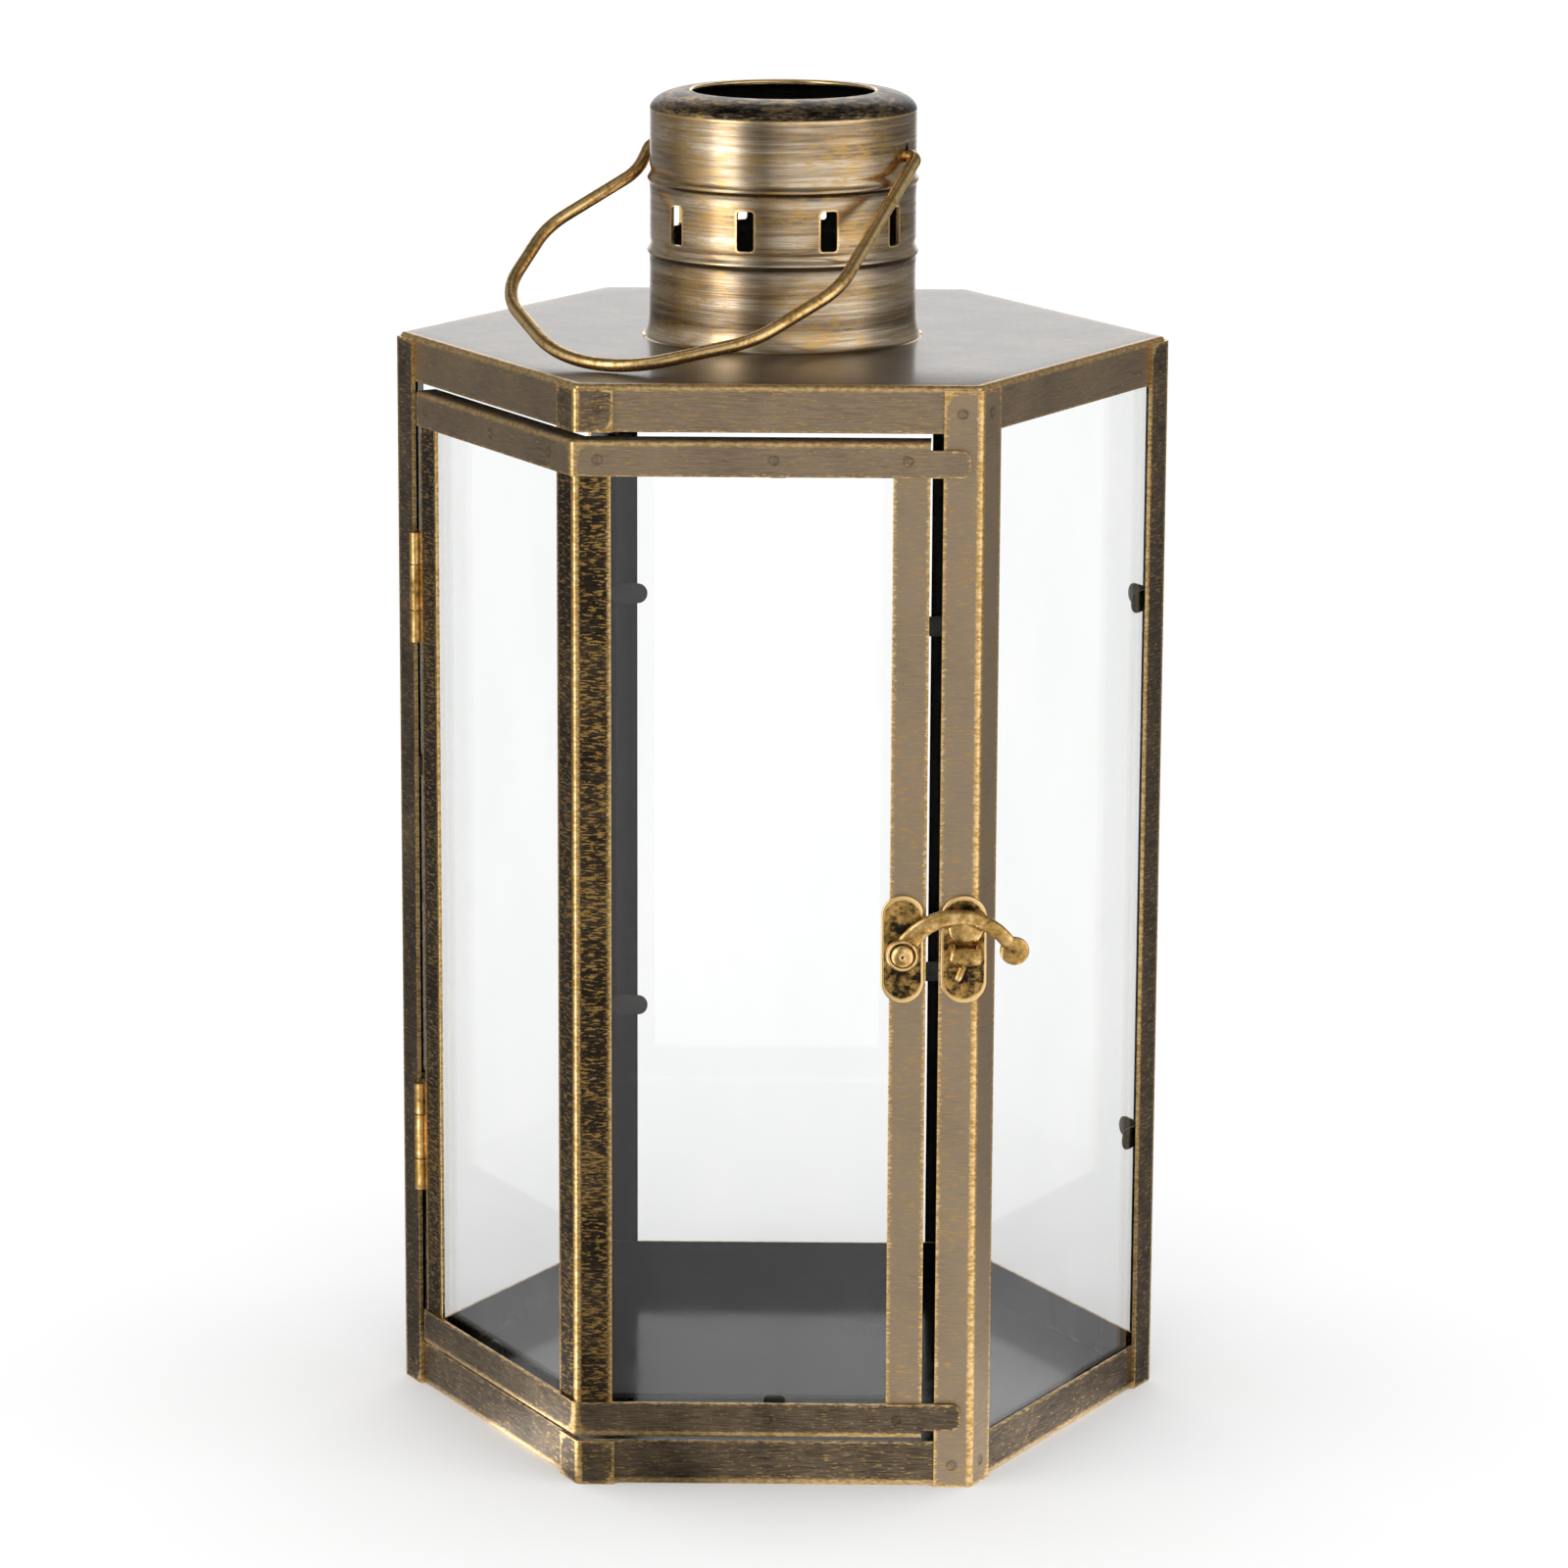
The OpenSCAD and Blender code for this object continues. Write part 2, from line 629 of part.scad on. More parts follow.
module chimney() color(brass) translate([0, 0, roof_z]) {
    difference() {
        rotate_extrude($fn = 96) difference() {
            chimney_section(0);
            difference() {
                chimney_section(sheet);
                translate([0, chimney_h - sheet]) square([chimney_r, chimney_h]);
            }
            translate([-cut, -cut]) square([mouth_r + cut, chimney_h + 2 * cut]);
            translate([0, -cut]) square([foot_r - sheet, cut]);
        }
        for (i = [0:slots - 1]) slot_cutter(slot_turn + i * 360 / slots, slot_z)
            round_rectangle([slot_w, slot_h], slot_r);
        for (side = [90, -90]) slot_cutter(handle_turn + side, pivot_z) {
            circle(wire_r + pivot_gap);
            polygon([[-wire_r - pivot_gap, 0], [wire_r + pivot_gap, 0], [0, hole_peak]]);
        }
    }
    tab_places() {
        translate([-tab_w / 2, -foot_r, -2 * sheet]) cube([tab_w, sheet, 2 * sheet + 0.3]);
        translate([-tab_w / 2, -foot_r - 3, -2 * sheet]) cube([tab_w, 3 + sheet, sheet]);
    }
    translate([0, 0, chimney_h - mouth_lip_r]) rotate_extrude($fn = 96)
        translate([mouth_r, 0]) circle(mouth_lip_r);
}

// ---- handle ----

// Stations along the wire, each a point of the loop's plane and the wire's heading there
function heading(v) = atan2(v[1], v[0]);
function left_of(h) = [-sin(h), cos(h)];
function bend_stations(i) =
    let (
        way_in = -to_last(i),
        turn = cross_z(way_in, to_next(i)) > 0 ? 1 : -1,
        sweep = turn * (180 - corner_angle(i)),
        steps = ceil(abs(sweep) / wire_step)
    )
    [for (k = [0:steps]) let (h = heading(way_in) + sweep * k / steps)
        [arc_centre(i) - turn * loop_radii[i] * left_of(h), h]];
last = len(loop_points) - 1;
stations = concat(
    [[loop_points[0], heading(to_next(0))]],
    [for (i = [1:last - 1]) each bend_stations(i)],
    [[loop_points[last], heading(-to_last(last))]]
);

// Round wire swept along the stations, as one closed skin
module wire_sweep() {
    rings = len(stations);
    points = [for (s = stations, k = [0:wire_sides - 1]) let (a = 360 * k / wire_sides)
        concat(s[0] + wire_r * cos(a) * left_of(s[1]), wire_r * sin(a))];
    function at(ring, k) = ring * wire_sides + k % wire_sides;
    polyhedron(points, concat(
        [[for (k = [0:wire_sides - 1]) at(0, k)]],
        [for (r = [0:rings - 2], k = [0:wire_sides - 1], half = [0, 1])
            half == 0 ? [at(r, k), at(r + 1, k), at(r + 1, k + 1)]
                : [at(r, k), at(r + 1, k + 1), at(r, k + 1)]],
        [[for (k = [wire_sides - 1:-1:0]) at(rings - 1, k)]]
    ));
}

module handle() color(bright_brass)
    translate([0, 0, pivot_height]) rotate([0, 0, handle_turn]) rotate([lay_angle, 0, 0])
        mirror([0, 1, 0]) wire_sweep();

base_pan();
roof_cap();
chimney();
handle();
post_left();
post_front_right();
post_right();
post_back_right();
post_back_left();
corner_bracket_top();
corner_bracket_bottom();
glass_back();
glass_back_left();
glass_back_right();
glass_front_right();
door_hinge_stile();
door_corner_stile();
door_lock_stile();
door_top_rail();
door_bottom_rail();
door_glass_side();
door_glass_front();
upper_hinge_frame_leaf();
upper_hinge_door_leaf();
upper_hinge_pin();
lower_hinge_frame_leaf();
lower_hinge_door_leaf();
lower_hinge_pin();
latch_door_plate();
latch_arm();
latch_rivet();
latch_frame_plate();
latch_keeper();
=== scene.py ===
"""Candle lantern: the surfaces, finishes, stage and camera around its fixed frame."""

import math

import bmesh
import bpy
import numpy as np
from mathutils import Matrix, Vector


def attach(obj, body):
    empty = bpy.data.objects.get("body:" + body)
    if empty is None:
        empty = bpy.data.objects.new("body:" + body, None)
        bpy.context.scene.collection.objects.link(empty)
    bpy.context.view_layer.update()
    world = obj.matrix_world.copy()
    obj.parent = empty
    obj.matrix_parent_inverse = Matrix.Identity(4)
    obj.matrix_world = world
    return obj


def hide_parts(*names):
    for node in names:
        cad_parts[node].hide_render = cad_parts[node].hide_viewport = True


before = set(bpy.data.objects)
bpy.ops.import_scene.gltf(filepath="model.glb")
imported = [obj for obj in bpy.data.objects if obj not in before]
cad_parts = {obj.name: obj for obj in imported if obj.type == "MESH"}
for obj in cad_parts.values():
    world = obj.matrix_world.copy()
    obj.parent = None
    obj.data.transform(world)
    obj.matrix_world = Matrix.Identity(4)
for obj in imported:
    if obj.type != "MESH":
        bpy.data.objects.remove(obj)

bl_info = {
    "name": "Candle Lantern",
    "version": (1, 0, 0),
    "blender": (4, 5, 0),
    "location": "View3D > Sidebar > Lantern",
    "description": "Builds the surfaces and finishes of a hexagonal brass candle lantern",
    "category": "Add Mesh",
}

MM = 0.001
FRONT, FRONT_RIGHT, BACK_RIGHT, BACK, BACK_LEFT, FRONT_LEFT = range(6)
TAN30 = math.tan(math.radians(30))
COS30 = math.cos(math.radians(30))
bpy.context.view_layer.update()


# ---- measures of the frame, in millimetres ----


def turned(points, degrees):
    """Points turned about the upright axis."""
    a = math.radians(degrees)
    x, y = points[..., 0], points[..., 1]
    away = [x * math.cos(a) - y * math.sin(a), x * math.sin(a) + y * math.cos(a)]
    return np.stack(away + [points[..., k] for k in range(2, points.shape[-1])], -1)


def face_box(node, face=FRONT):
    """Lowest and highest corner of a node in a side face's own frame: along, in, up."""
    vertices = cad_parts[node].data.vertices
    co = np.zeros(len(vertices) * 3)
    vertices.foreach_get("co", co)
    co = turned(co.reshape(-1, 3), -60 * face) / MM
    return co.min(0), co.max(0)


APOTHEM = -face_box("post_front_right")[0][1]
HALF_SIDE = APOTHEM * TAN30
POST_TOP = face_box("post_right")[1][2]
BODY_TOP = face_box("roof_cap")[1][2]
ROOF_RIM = face_box("roof_cap")[0][2]
BASE_RIM = face_box("base_pan")[1][2]
TRAY = face_box("base_pan")[1][1]
STRIP_PLANE = -face_box("door_lock_stile")[0][1]
STILE_LOW, STILE_HIGH = (face_box("door_lock_stile")[k][2] for k in (0, 1))
DOOR_RIGHT = face_box("door_lock_stile")[1][0]
DOOR_LEFT = face_box("door_hinge_stile", FRONT_LEFT)[0][0]
STRIP_W = DOOR_RIGHT - face_box("door_lock_stile")[0][0]
RAIL_PLANE = -face_box("door_top_rail")[0][1]
RAIL_RIGHT = face_box("door_top_rail")[1][0]
DOOR_LOW = face_box("door_bottom_rail")[0][2]
DOOR_HIGH = face_box("door_top_rail")[1][2]
SHEET = RAIL_PLANE - STRIP_PLANE
CHIMNEY_TOP = face_box("chimney")[1][2]
PLATE_D, PLATE_F = (face_box(n) for n in ("latch_door_plate", "latch_frame_plate"))
RIVET, ARM, KEEPER = (face_box(n) for n in ("latch_rivet", "latch_arm", "latch_keeper"))
POST_LEG = HALF_SIDE - face_box("post_front_right")[0][0]
TONGUE_PLANE = APOTHEM - 2 * SHEET - 2
# Heights of the tongues on each post, lower and upper
TONGUES = {
    "post_front_right": (72, BODY_TOP - 74), "post_right": (62, BODY_TOP - 62),
    "post_back_right": (82, BODY_TOP - 84), "post_back_left": (73, BODY_TOP - 76),
    "post_left": (73, BODY_TOP - 104),
}
FOOT_R, WALL_R, MOUTH_R = 32.6, 30.9, 21.7
DOME_H = 4.4
BEADS = (BODY_TOP + 19.8, BODY_TOP + 36.6)
PIVOT_Z = BODY_TOP + 43.1
HANDLE_TURN = -23
WIRE_R = 1.5
# Outer radius of the folded rims and lips, of the tray's corners and of the rails' corner
FOLD_R, TRAY_CORNER, RAIL_CORNER = 1.0, 1.4, 1.6
# How far weld marks lie from the corner, on the posts and on the brackets
POST_MARK, BRACKET_MARK = HALF_SIDE - 4.4, HALF_SIDE - 5.2
# Given to a point that has no edge or fold near it
FAR = 9.0
# Points this close are one
MERGE = 0.0005


# ---- sizes and colours that a user may change ----


def length(name, text, default, low, high):
    """A length property, given here in millimetres."""
    return bpy.props.FloatProperty(
        name=name, description=text, subtype="DISTANCE", unit="LENGTH", precision=5,
        default=default * MM, min=low * MM, max=high * MM)


class LanternSizes(bpy.types.PropertyGroup):
    """Small measures of the sheet work that the frame doesn't fix."""
    fold: length("Fold", "Outer radius of the folds in the strips", 1.2, 0.9, 2)
    rim_round: length("Rim rounding", "Rounding of the cut edges", 0.13, 0.02, 0.3)
    dent_r: length("Weld mark radius", "Radius of a spot-weld mark", 1.15, 0.5, 2)
    dent_depth: length("Weld mark depth", "Depth of a spot-weld mark", 0.32, 0, 0.6)
    grid: length("Grid", "Longest step between two lines of a surface", 4, 1, 10)
    cast_grain: length("Casting grain", "Voxel that joins the castings", 0.16, 0.1, 0.4)


def colour(name, text, value):
    return bpy.props.FloatVectorProperty(
        name=name, description=text, subtype="COLOR", size=4, default=(*value, 1), min=0, max=1)


class LanternFinish(bpy.types.PropertyGroup):
    """Colours of the brass and the enamel, and the brightness of the studio."""
    patina: colour("Patina", "Darkest of the antique finish", (0.022, 0.016, 0.011))
    bronze: colour("Bronze", "Middle of the antique finish", (0.36, 0.27, 0.18))
    umber: colour("Umber", "Darker lines of the brushed metal", (0.22, 0.145, 0.08))
    # Gold is also the painted highlight along rims, folds, slot edges and proud parts
    gold: colour("Gold", "Brass where the finish is rubbed through", (0.88, 0.60, 0.27))
    amber: colour("Amber", "Flecks where the finish is thin", (0.52, 0.31, 0.09))
    silver: colour("Silver", "Palest of the brushed metal", (0.68, 0.565, 0.42))
    enamel: colour("Enamel", "Black inside", (0.006, 0.006, 0.0055))
    light: bpy.props.FloatProperty(
        name="Light", description="Brightness of the studio", default=1.3, min=0, max=5)


# ---- surfaces ----


def knots(start, end, step, fine=(), reach=1.8, fine_step=0.22):
    """Sorted values from start to end: a coarse step, and a fine one within reach of each fine place."""
    values = [np.linspace(start, end, max(2, round((end - start) / step) + 1))]
    for place in fine:
        values.append(np.arange(place - reach, place + reach, fine_step))
    found = np.unique(np.round(np.concatenate(values), 3))
    inside = found[(found > start + 0.05) & (found < end - 0.05)]
    return np.concatenate([[start], inside, [end]])


def surface(name, grid, keep=None, wrap=False, layers=None, index=None):
    """A mesh of the quads of a grid of points in millimetres, joined round its first
    direction where it wraps. keep and index say which quads stay and their material;
    layers are values of each point."""
    rows, columns = grid.shape[:2]
    number = np.arange(rows * columns).reshape(rows, columns)
    if wrap:
        number = np.concatenate([number, number[:1]])
    quads = np.stack([number[:-1, :-1], number[1:, :-1], number[1:, 1:], number[:-1, 1:]], -1)
    keep = np.ones(quads.shape[:2], bool) if keep is None else keep
    faces = quads[keep]
    used, flat = np.unique(faces, return_inverse=True)
    mesh = bpy.data.meshes.new(name)
    mesh.from_pydata(grid.reshape(-1, 3)[used] * MM, [], flat.reshape(-1, 4).tolist())
    for key, value in (layers or {}).items():
        layer = mesh.attributes.new(key, "FLOAT", "POINT")
        layer.data.foreach_set("value", np.ravel(value)[used].astype(np.float32))
    if index is not None:
        index = np.broadcast_to(index, keep.shape)[keep].astype(np.int32)
        mesh.polygons.foreach_set("material_index", index)
    mesh.polygons.foreach_set("use_smooth", np.ones(len(faces), bool))
    return mesh


def closed(mesh):
    """The mesh with its seams and poles closed, where its points lie on each other."""
    work = bmesh.new()
    work.from_mesh(mesh)
    bmesh.ops.remove_doubles(work, verts=work.verts, dist=MERGE * MM)
    work.to_mesh(mesh)
    work.free()
    return mesh


def joined(name, meshes):
    """One mesh of several, with their point values and material numbers."""
    starts = np.cumsum([0] + [len(m.vertices) for m in meshes])
    points, faces, index = [], [], []
    keys = sorted({a.name for m in meshes for a in m.attributes if a.data_type == "FLOAT"})
    for start, m in zip(starts, meshes):
        co = np.zeros(len(m.vertices) * 3)
        m.vertices.foreach_get("co", co)
        points.append(co.reshape(-1, 3))
        faces += [[start + v for v in p.vertices] for p in m.polygons]
        index += [p.material_index for p in m.polygons]
    mesh = bpy.data.meshes.new(name)
    mesh.from_pydata(np.concatenate(points), [], faces)
    for key in keys:
        values = []
        for m in meshes:
            part = np.full(len(m.vertices), FAR, np.float32)
            if key in m.attributes:
                m.attributes[key].data.foreach_get("value", part)
            values.append(part)
        layer = mesh.attributes.new(key, "FLOAT", "POINT")
        layer.data.foreach_set("value", np.concatenate(values))
    mesh.polygons.foreach_set("material_index", index)
    mesh.polygons.foreach_set("use_smooth", np.ones(len(faces), bool))
    return mesh


def piece(mesh, body, replaces, materials, thick=0.0, bevel=None):
    """An object of the mesh that rides on a body, with its wall and rounded rims."""
    thing = bpy.data.objects.new(mesh.name, mesh)
    bpy.context.scene.collection.objects.link(thing)
    for material in materials:
        mesh.materials.append(bpy.data.materials[material])
    if thick:
        wall = thing.modifiers.new("wall", "SOLIDIFY")
        wall.thickness = thick * MM
        wall.offset = -1
        wall.use_even_offset = True
        wall.material_offset = len(materials) // 2
    if bevel is None:
        bevel = size("rim_round") if thick else 0
    if bevel:
        rim = thing.modifiers.new("rim", "BEVEL")
        rim.width = bevel * MM
        rim.segments = 2
        rim.limit_method = "ANGLE"
        # Rounds the cut edges, which are square, and not the steep sides of a weld mark
        rim.angle_limit = math.radians(75)
        rim.harden_normals = True
    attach(thing, body)
    if replaces:
        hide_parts(*replaces)
    return thing


def size(key):
    """One of the lantern's sizes in millimetres."""
    return round(getattr(bpy.context.scene.lantern_sizes, key) / MM, 5)


def finish():
    return bpy.context.scene.lantern_finish


def corner_line(plane, start, end, radius, fine_a=(), fine_b=()):
    """Plan of a strip folded round a corner of the hexagon: a straight stretch on one
    face, an arc of sixty degrees and a straight stretch on the next face. Gives the
    points, the outward normals, the distance run and the distance from the fold."""
    tangent = (plane - radius) * TAN30
    step = size("grid")
    first = knots(start, tangent, step, fine_a)[:-1]
    last = knots(-tangent, end, step, fine_b)[1:]
    a = np.radians(np.linspace(-90, -30, 9))
    centre = np.array([tangent, radius - plane])
    bend = centre + radius * np.stack([np.cos(a), np.sin(a)], -1)
    line = np.concatenate([
        np.stack([first, np.full_like(first, -plane)], -1), bend,
        turned(np.stack([last, np.full_like(last, -plane)], -1), 60)])
    out = np.concatenate([
        np.tile([0.0, -1.0], (len(first), 1)), np.stack([np.cos(a), np.sin(a)], -1),
        np.tile([COS30, -0.5], (len(last), 1))])
    run = np.concatenate([[0], np.cumsum(np.linalg.norm(np.diff(line, axis=0), axis=1))])
    bend_start, bend_end = run[len(first)], run[len(first) + len(bend) - 1]
    fold = np.maximum(0, np.maximum(bend_start - run, run - bend_end))
    return line, out, run, fold


def dented(grid, out, places):
    """Pushes round weld marks into a grid: a bowl that fades as the square of one less
    the square of the distance, with a small pip in its middle."""
    for place in places:
        d = np.linalg.norm(grid - np.asarray(place), axis=-1) / size("dent_r")
        bowl = np.where(d < 1, (1 - d ** 2) ** 2, 0) - 0.75 * np.exp(-(d / 0.32) ** 2)
        grid = grid - size("dent_depth") * bowl[..., None] * out
    return grid


def ringed(grid, places):
    """How strongly the dark ring of a weld mark lies on each point."""
    ring = np.zeros(grid.shape[:2])
    for place in places:
        d = np.linalg.norm(grid - np.asarray(place), axis=-1)
        ring = np.maximum(ring, np.exp(-((d - 0.95) / 0.35) ** 2) + 0.8 * np.exp(-(d / 0.4) ** 2))
    return ring


def on_face(face, along, plane, up):
    """Point of a side face, in the frame of the whole."""
    return turned(np.array([along, -plane, up], float), 60 * face)


def upright_strip(name, face, line, low, high, marks=()):
    """A folded or flat strip that stands from low to high: its plan carried straight up.
    marks are the heights and places of its weld marks."""
    plan, out, run, fold = line
    up = knots(low, high, size("grid"), sorted({m[2] for m in marks}))
    grid = np.concatenate([
        np.repeat(turned(plan, 60 * face)[:, None], len(up), 1),
        np.broadcast_to(up[None, :, None], (len(plan), len(up), 1))], -1)
    normal = np.concatenate([turned(out, 60 * face), np.zeros((len(out), 1))], -1)
    grid = dented(grid, np.broadcast_to(normal[:, None], grid.shape), marks)
    side = np.minimum(run, run[-1] - run)[:, None] + 0 * up
    ends = np.minimum(up - low, high - up)[None] + 0 * side
    layers = {"edge": np.minimum(side, ends), "fold": np.repeat(fold[:, None], len(up), 1),
              "mark": ringed(grid, marks)}
    return surface(name, grid, layers=layers)


def flat_line(face_from, face_to, plane):
    """Plan of a flat strip on a face: a straight line."""
    along = knots(face_from, face_to, size("grid") / 2)
    plan = np.stack([along, np.full_like(along, -plane)], -1)
    out = np.tile([0.0, -1.0], (len(along), 1))
    return plan, out, along - along[0], np.full_like(along, FAR)


def rounded_plate(name, outline, place, thick, face=FRONT, rim=0.3, marks=()):
    """A closed plate. Its outline, seen from outside the face, shrinks to its middle in
    rings at the front and at the back, and the rim is a half round. place is how far its
    back lies from the axis; marks are dents in its front."""
    centre = outline.mean(0)
    ahead = np.roll(outline, -1, 0) - np.roll(outline, 1, 0)
    inward = np.stack([-ahead[:, 1], ahead[:, 0]], -1) / np.linalg.norm(ahead, axis=1)[:, None]
    half_width = np.abs(outline[:, 0] - centre[0]).max()
    inner = outline + inward * rim
    rings = [(centre + (inner - centre) * t, thick, (1 - t) * half_width)
             for t in (0, *np.linspace(0.02, 1, 14))]
    for a in np.radians(np.linspace(0, 180, 7))[1:-1]:
        rings.append((outline + inward * rim * (1 - math.sin(a)), thick / 2 * (1 + math.cos(a)), 0))
    rings += [(inner, 0, 0), (np.tile(centre, (len(outline), 1)), 0, 0)]
    flat = np.stack([ring for ring, _, _ in rings], 1)
    depth, edge = (np.tile([ring[k] for ring in rings], (len(outline), 1)) for k in (1, 2))
    for x, z, deep in marks:
        d = np.hypot(flat[..., 0] - x, flat[..., 1] - z) / 1.3
        depth = depth - np.where(depth > thick / 2, deep * np.exp(-d ** 2), 0)
    grid = np.stack([flat[..., 0], -place - depth, flat[..., 1]], -1)
    grid = turned(grid, 60 * face)[::-1]
    layers = {"edge": edge[::-1], "fold": np.full(edge.shape, FAR)}
    return closed(surface(name, grid, wrap=True, layers=layers))


def stadium(centre, width, height, corner, points=9):
    """Outline of a rectangle with round corners, counterclockwise."""
    a = np.radians(np.linspace(0, 90, points))
    arc = corner * np.stack([np.cos(a), np.sin(a)], -1)
    half = np.array([width, height]) / 2 - corner
    ways = enumerate(((1, 1), (-1, 1), (-1, -1), (1, -1)))
    quarters = [turned(arc, 90 * k) + half * way for k, way in ways]
    return np.concatenate(quarters) + np.asarray(centre)


def tongue(face, side, up):
    """The round-ended tongue that a post holds behind one pane."""
    tip, root = HALF_SIDE - POST_LEG - 2.6, TONGUE_PLANE * TAN30
    middle = (side * (tip + root) / 2, up)
    outline = stadium(middle, root - tip, 5, 2.4)
    return rounded_plate("tongue", outline, TONGUE_PLANE - SHEET, SHEET, face, rim=0.15)


# ---- shaders ----


BRASS_OUT = [("Color", "Color"), ("Roughness", "Float"), ("Height", "Float")]


def put(tree, kind, values=None, **settings):
    """A node with its settings, and each input given a value or joined to a socket."""
    made = tree.nodes.new(kind)
    for key, value in settings.items():
        setattr(made, key, value)
    for key, value in (values or {}).items():
        if isinstance(value, bpy.types.NodeSocket):
            tree.links.new(value, made.inputs[key])
        else:
            made.inputs[key].default_value = value
    return made


def calc(tree, operation, a, b=0.0, clamp=False):
    return put(tree, "ShaderNodeMath", {0: a, 1: b}, operation=operation, use_clamp=clamp).outputs[0]


def plus(tree, a, b):
    return calc(tree, "ADD", a, b)


def less(tree, a, b):
    return calc(tree, "SUBTRACT", a, b)


def times(tree, a, b, clamp=False):
    return calc(tree, "MULTIPLY", a, b, clamp)


def shares(tree, a, part, b):
    """So much of one value and the rest of another."""
    return plus(tree, times(tree, a, part), times(tree, b, 1 - part))


def span(tree, value, low, high, to_low=0.0, to_high=1.0):
    """A value carried smoothly from one range to another."""
    values = {"Value": value, "From Min": low, "From Max": high, "To Min": to_low, "To Max": to_high}
    return put(tree, "ShaderNodeMapRange", values, interpolation_type="SMOOTHSTEP").outputs[0]


def blend(tree, share, a, b):
    """A share of the second colour over the first."""
    return put(tree, "ShaderNodeMix", {0: share, 6: a, 7: b}, data_type="RGBA").outputs[2]


def noise(tree, vector, scale, stretch, detail=3.0, rough=0.6):
    """Noise of so many waves a metre, stretched along some of the axes."""
    shape = put(tree, "ShaderNodeMapping", {"Vector": vector, "Scale": stretch})
    values = {"Vector": shape.outputs[0], "Scale": scale, "Detail": detail, "Roughness": rough}
    return put(tree, "ShaderNodeTexNoise", values).outputs["Fac"]


def own_place(tree):
    """Where each point lies, in the frame of the whole."""
    return tree.nodes.new("ShaderNodeTexCoord").outputs["Object"]


def own_value(tree, key):
    """A value that the piece's points carry."""
    return put(tree, "ShaderNodeAttribute", attribute_name=key).outputs["Fac"]


def group(name, inputs, outputs):
    """An empty shader group with its sockets, and its inner ends."""
    tree = bpy.data.node_groups.new(name, "ShaderNodeTree")
    for way, sockets in (("INPUT", inputs), ("OUTPUT", outputs)):
        for title, kind, *value in sockets:
            made = tree.interface.new_socket(title, in_out=way, socket_type="NodeSocket" + kind)
            if value:
                made.default_value = value[0]
    return tree, tree.nodes.new("NodeGroupInput").outputs, tree.nodes.new("NodeGroupOutput").inputs


def give(tree, result, **values):
    """Joins the values to a group's outputs."""
    for key, value in values.items():
        tree.links.new(value, result[key])


def antique_group():
    """Brown patina over brass: fine level brush strokes, flecks where it is thin, and
    ragged gold along rims and folds, partly worn-through brass and partly a painted highlight."""
    colours = finish()
    tree, given, result = group(
        "Antique brass",
        [("Vector", "Vector"), ("Edge", "Float", FAR), ("Fold", "Float", FAR), ("Mark", "Float", 0.0),
         ("Dark", "Float", 0.3), ("Flecks", "Float", 0.4), ("Rub", "Float", 1.0),
         ("Wear", "Float", 1.0), ("Stroke", "Vector", (0.06, 0.06, 1.0))], BRASS_OUT)
    vector = given["Vector"]
    strokes = {0: vector, 1: given["Stroke"]}
    shaped = put(tree, "ShaderNodeVectorMath", strokes, operation="MULTIPLY").outputs[0]
    stroke = noise(tree, shaped, 3400, (1, 1, 1))
    fine = noise(tree, shaped, 2300, (3.4, 3.4, 1), 3, 0.65)
    cloud = noise(tree, vector, 55, (1, 1, 1))
    speck = noise(tree, vector, 1500, (0.45, 0.45, 1), 2)
    tone = less(tree, shares(tree, stroke, 0.6, cloud), times(tree, given["Dark"], 0.62))
    unmarked = less(tree, 1.0, times(tree, given["Mark"], 0.5))
    pale = times(tree, span(tree, tone, -0.15, 0.66), unmarked)
    base = blend(tree, pale, tuple(colours.patina), tuple(colours.bronze))
    bar = less(tree, 0.64, times(tree, given["Flecks"], 0.13))
    fleck = span(tree, less(tree, shares(tree, fine, 0.85, cloud), bar), -0.02, 0.05)
    flecked = blend(tree, times(tree, fleck, 0.8), base, tuple(colours.amber))
    ragged = times(tree, less(tree, fine, 0.5), 3.4)
    # Gold along rims and folds: partly worn-through brass, partly a painted highlight
    near_edge = calc(tree, "DIVIDE", plus(tree, given["Edge"], ragged), given["Wear"])
    near_fold = plus(tree, given["Fold"], times(tree, ragged, 0.5))
    wear_and_highlight = calc(tree, "MAXIMUM", span(tree, near_edge, 1.1, 0.1), span(tree, near_fold, 0.7, 0.0))
    rubbed = times(tree, wear_and_highlight, given["Rub"], clamp=True)
    warm = blend(tree, span(tree, speck, 0.35, 0.62), tuple(colours.amber), tuple(colours.gold))
    bright = calc(tree, "MAXIMUM", rubbed, fleck)
    give(tree, result, Color=blend(tree, rubbed, flecked, warm),
         Roughness=less(tree, 0.47, times(tree, bright, 0.12)),
         Height=plus(tree, stroke, times(tree, fine, 0.3)))


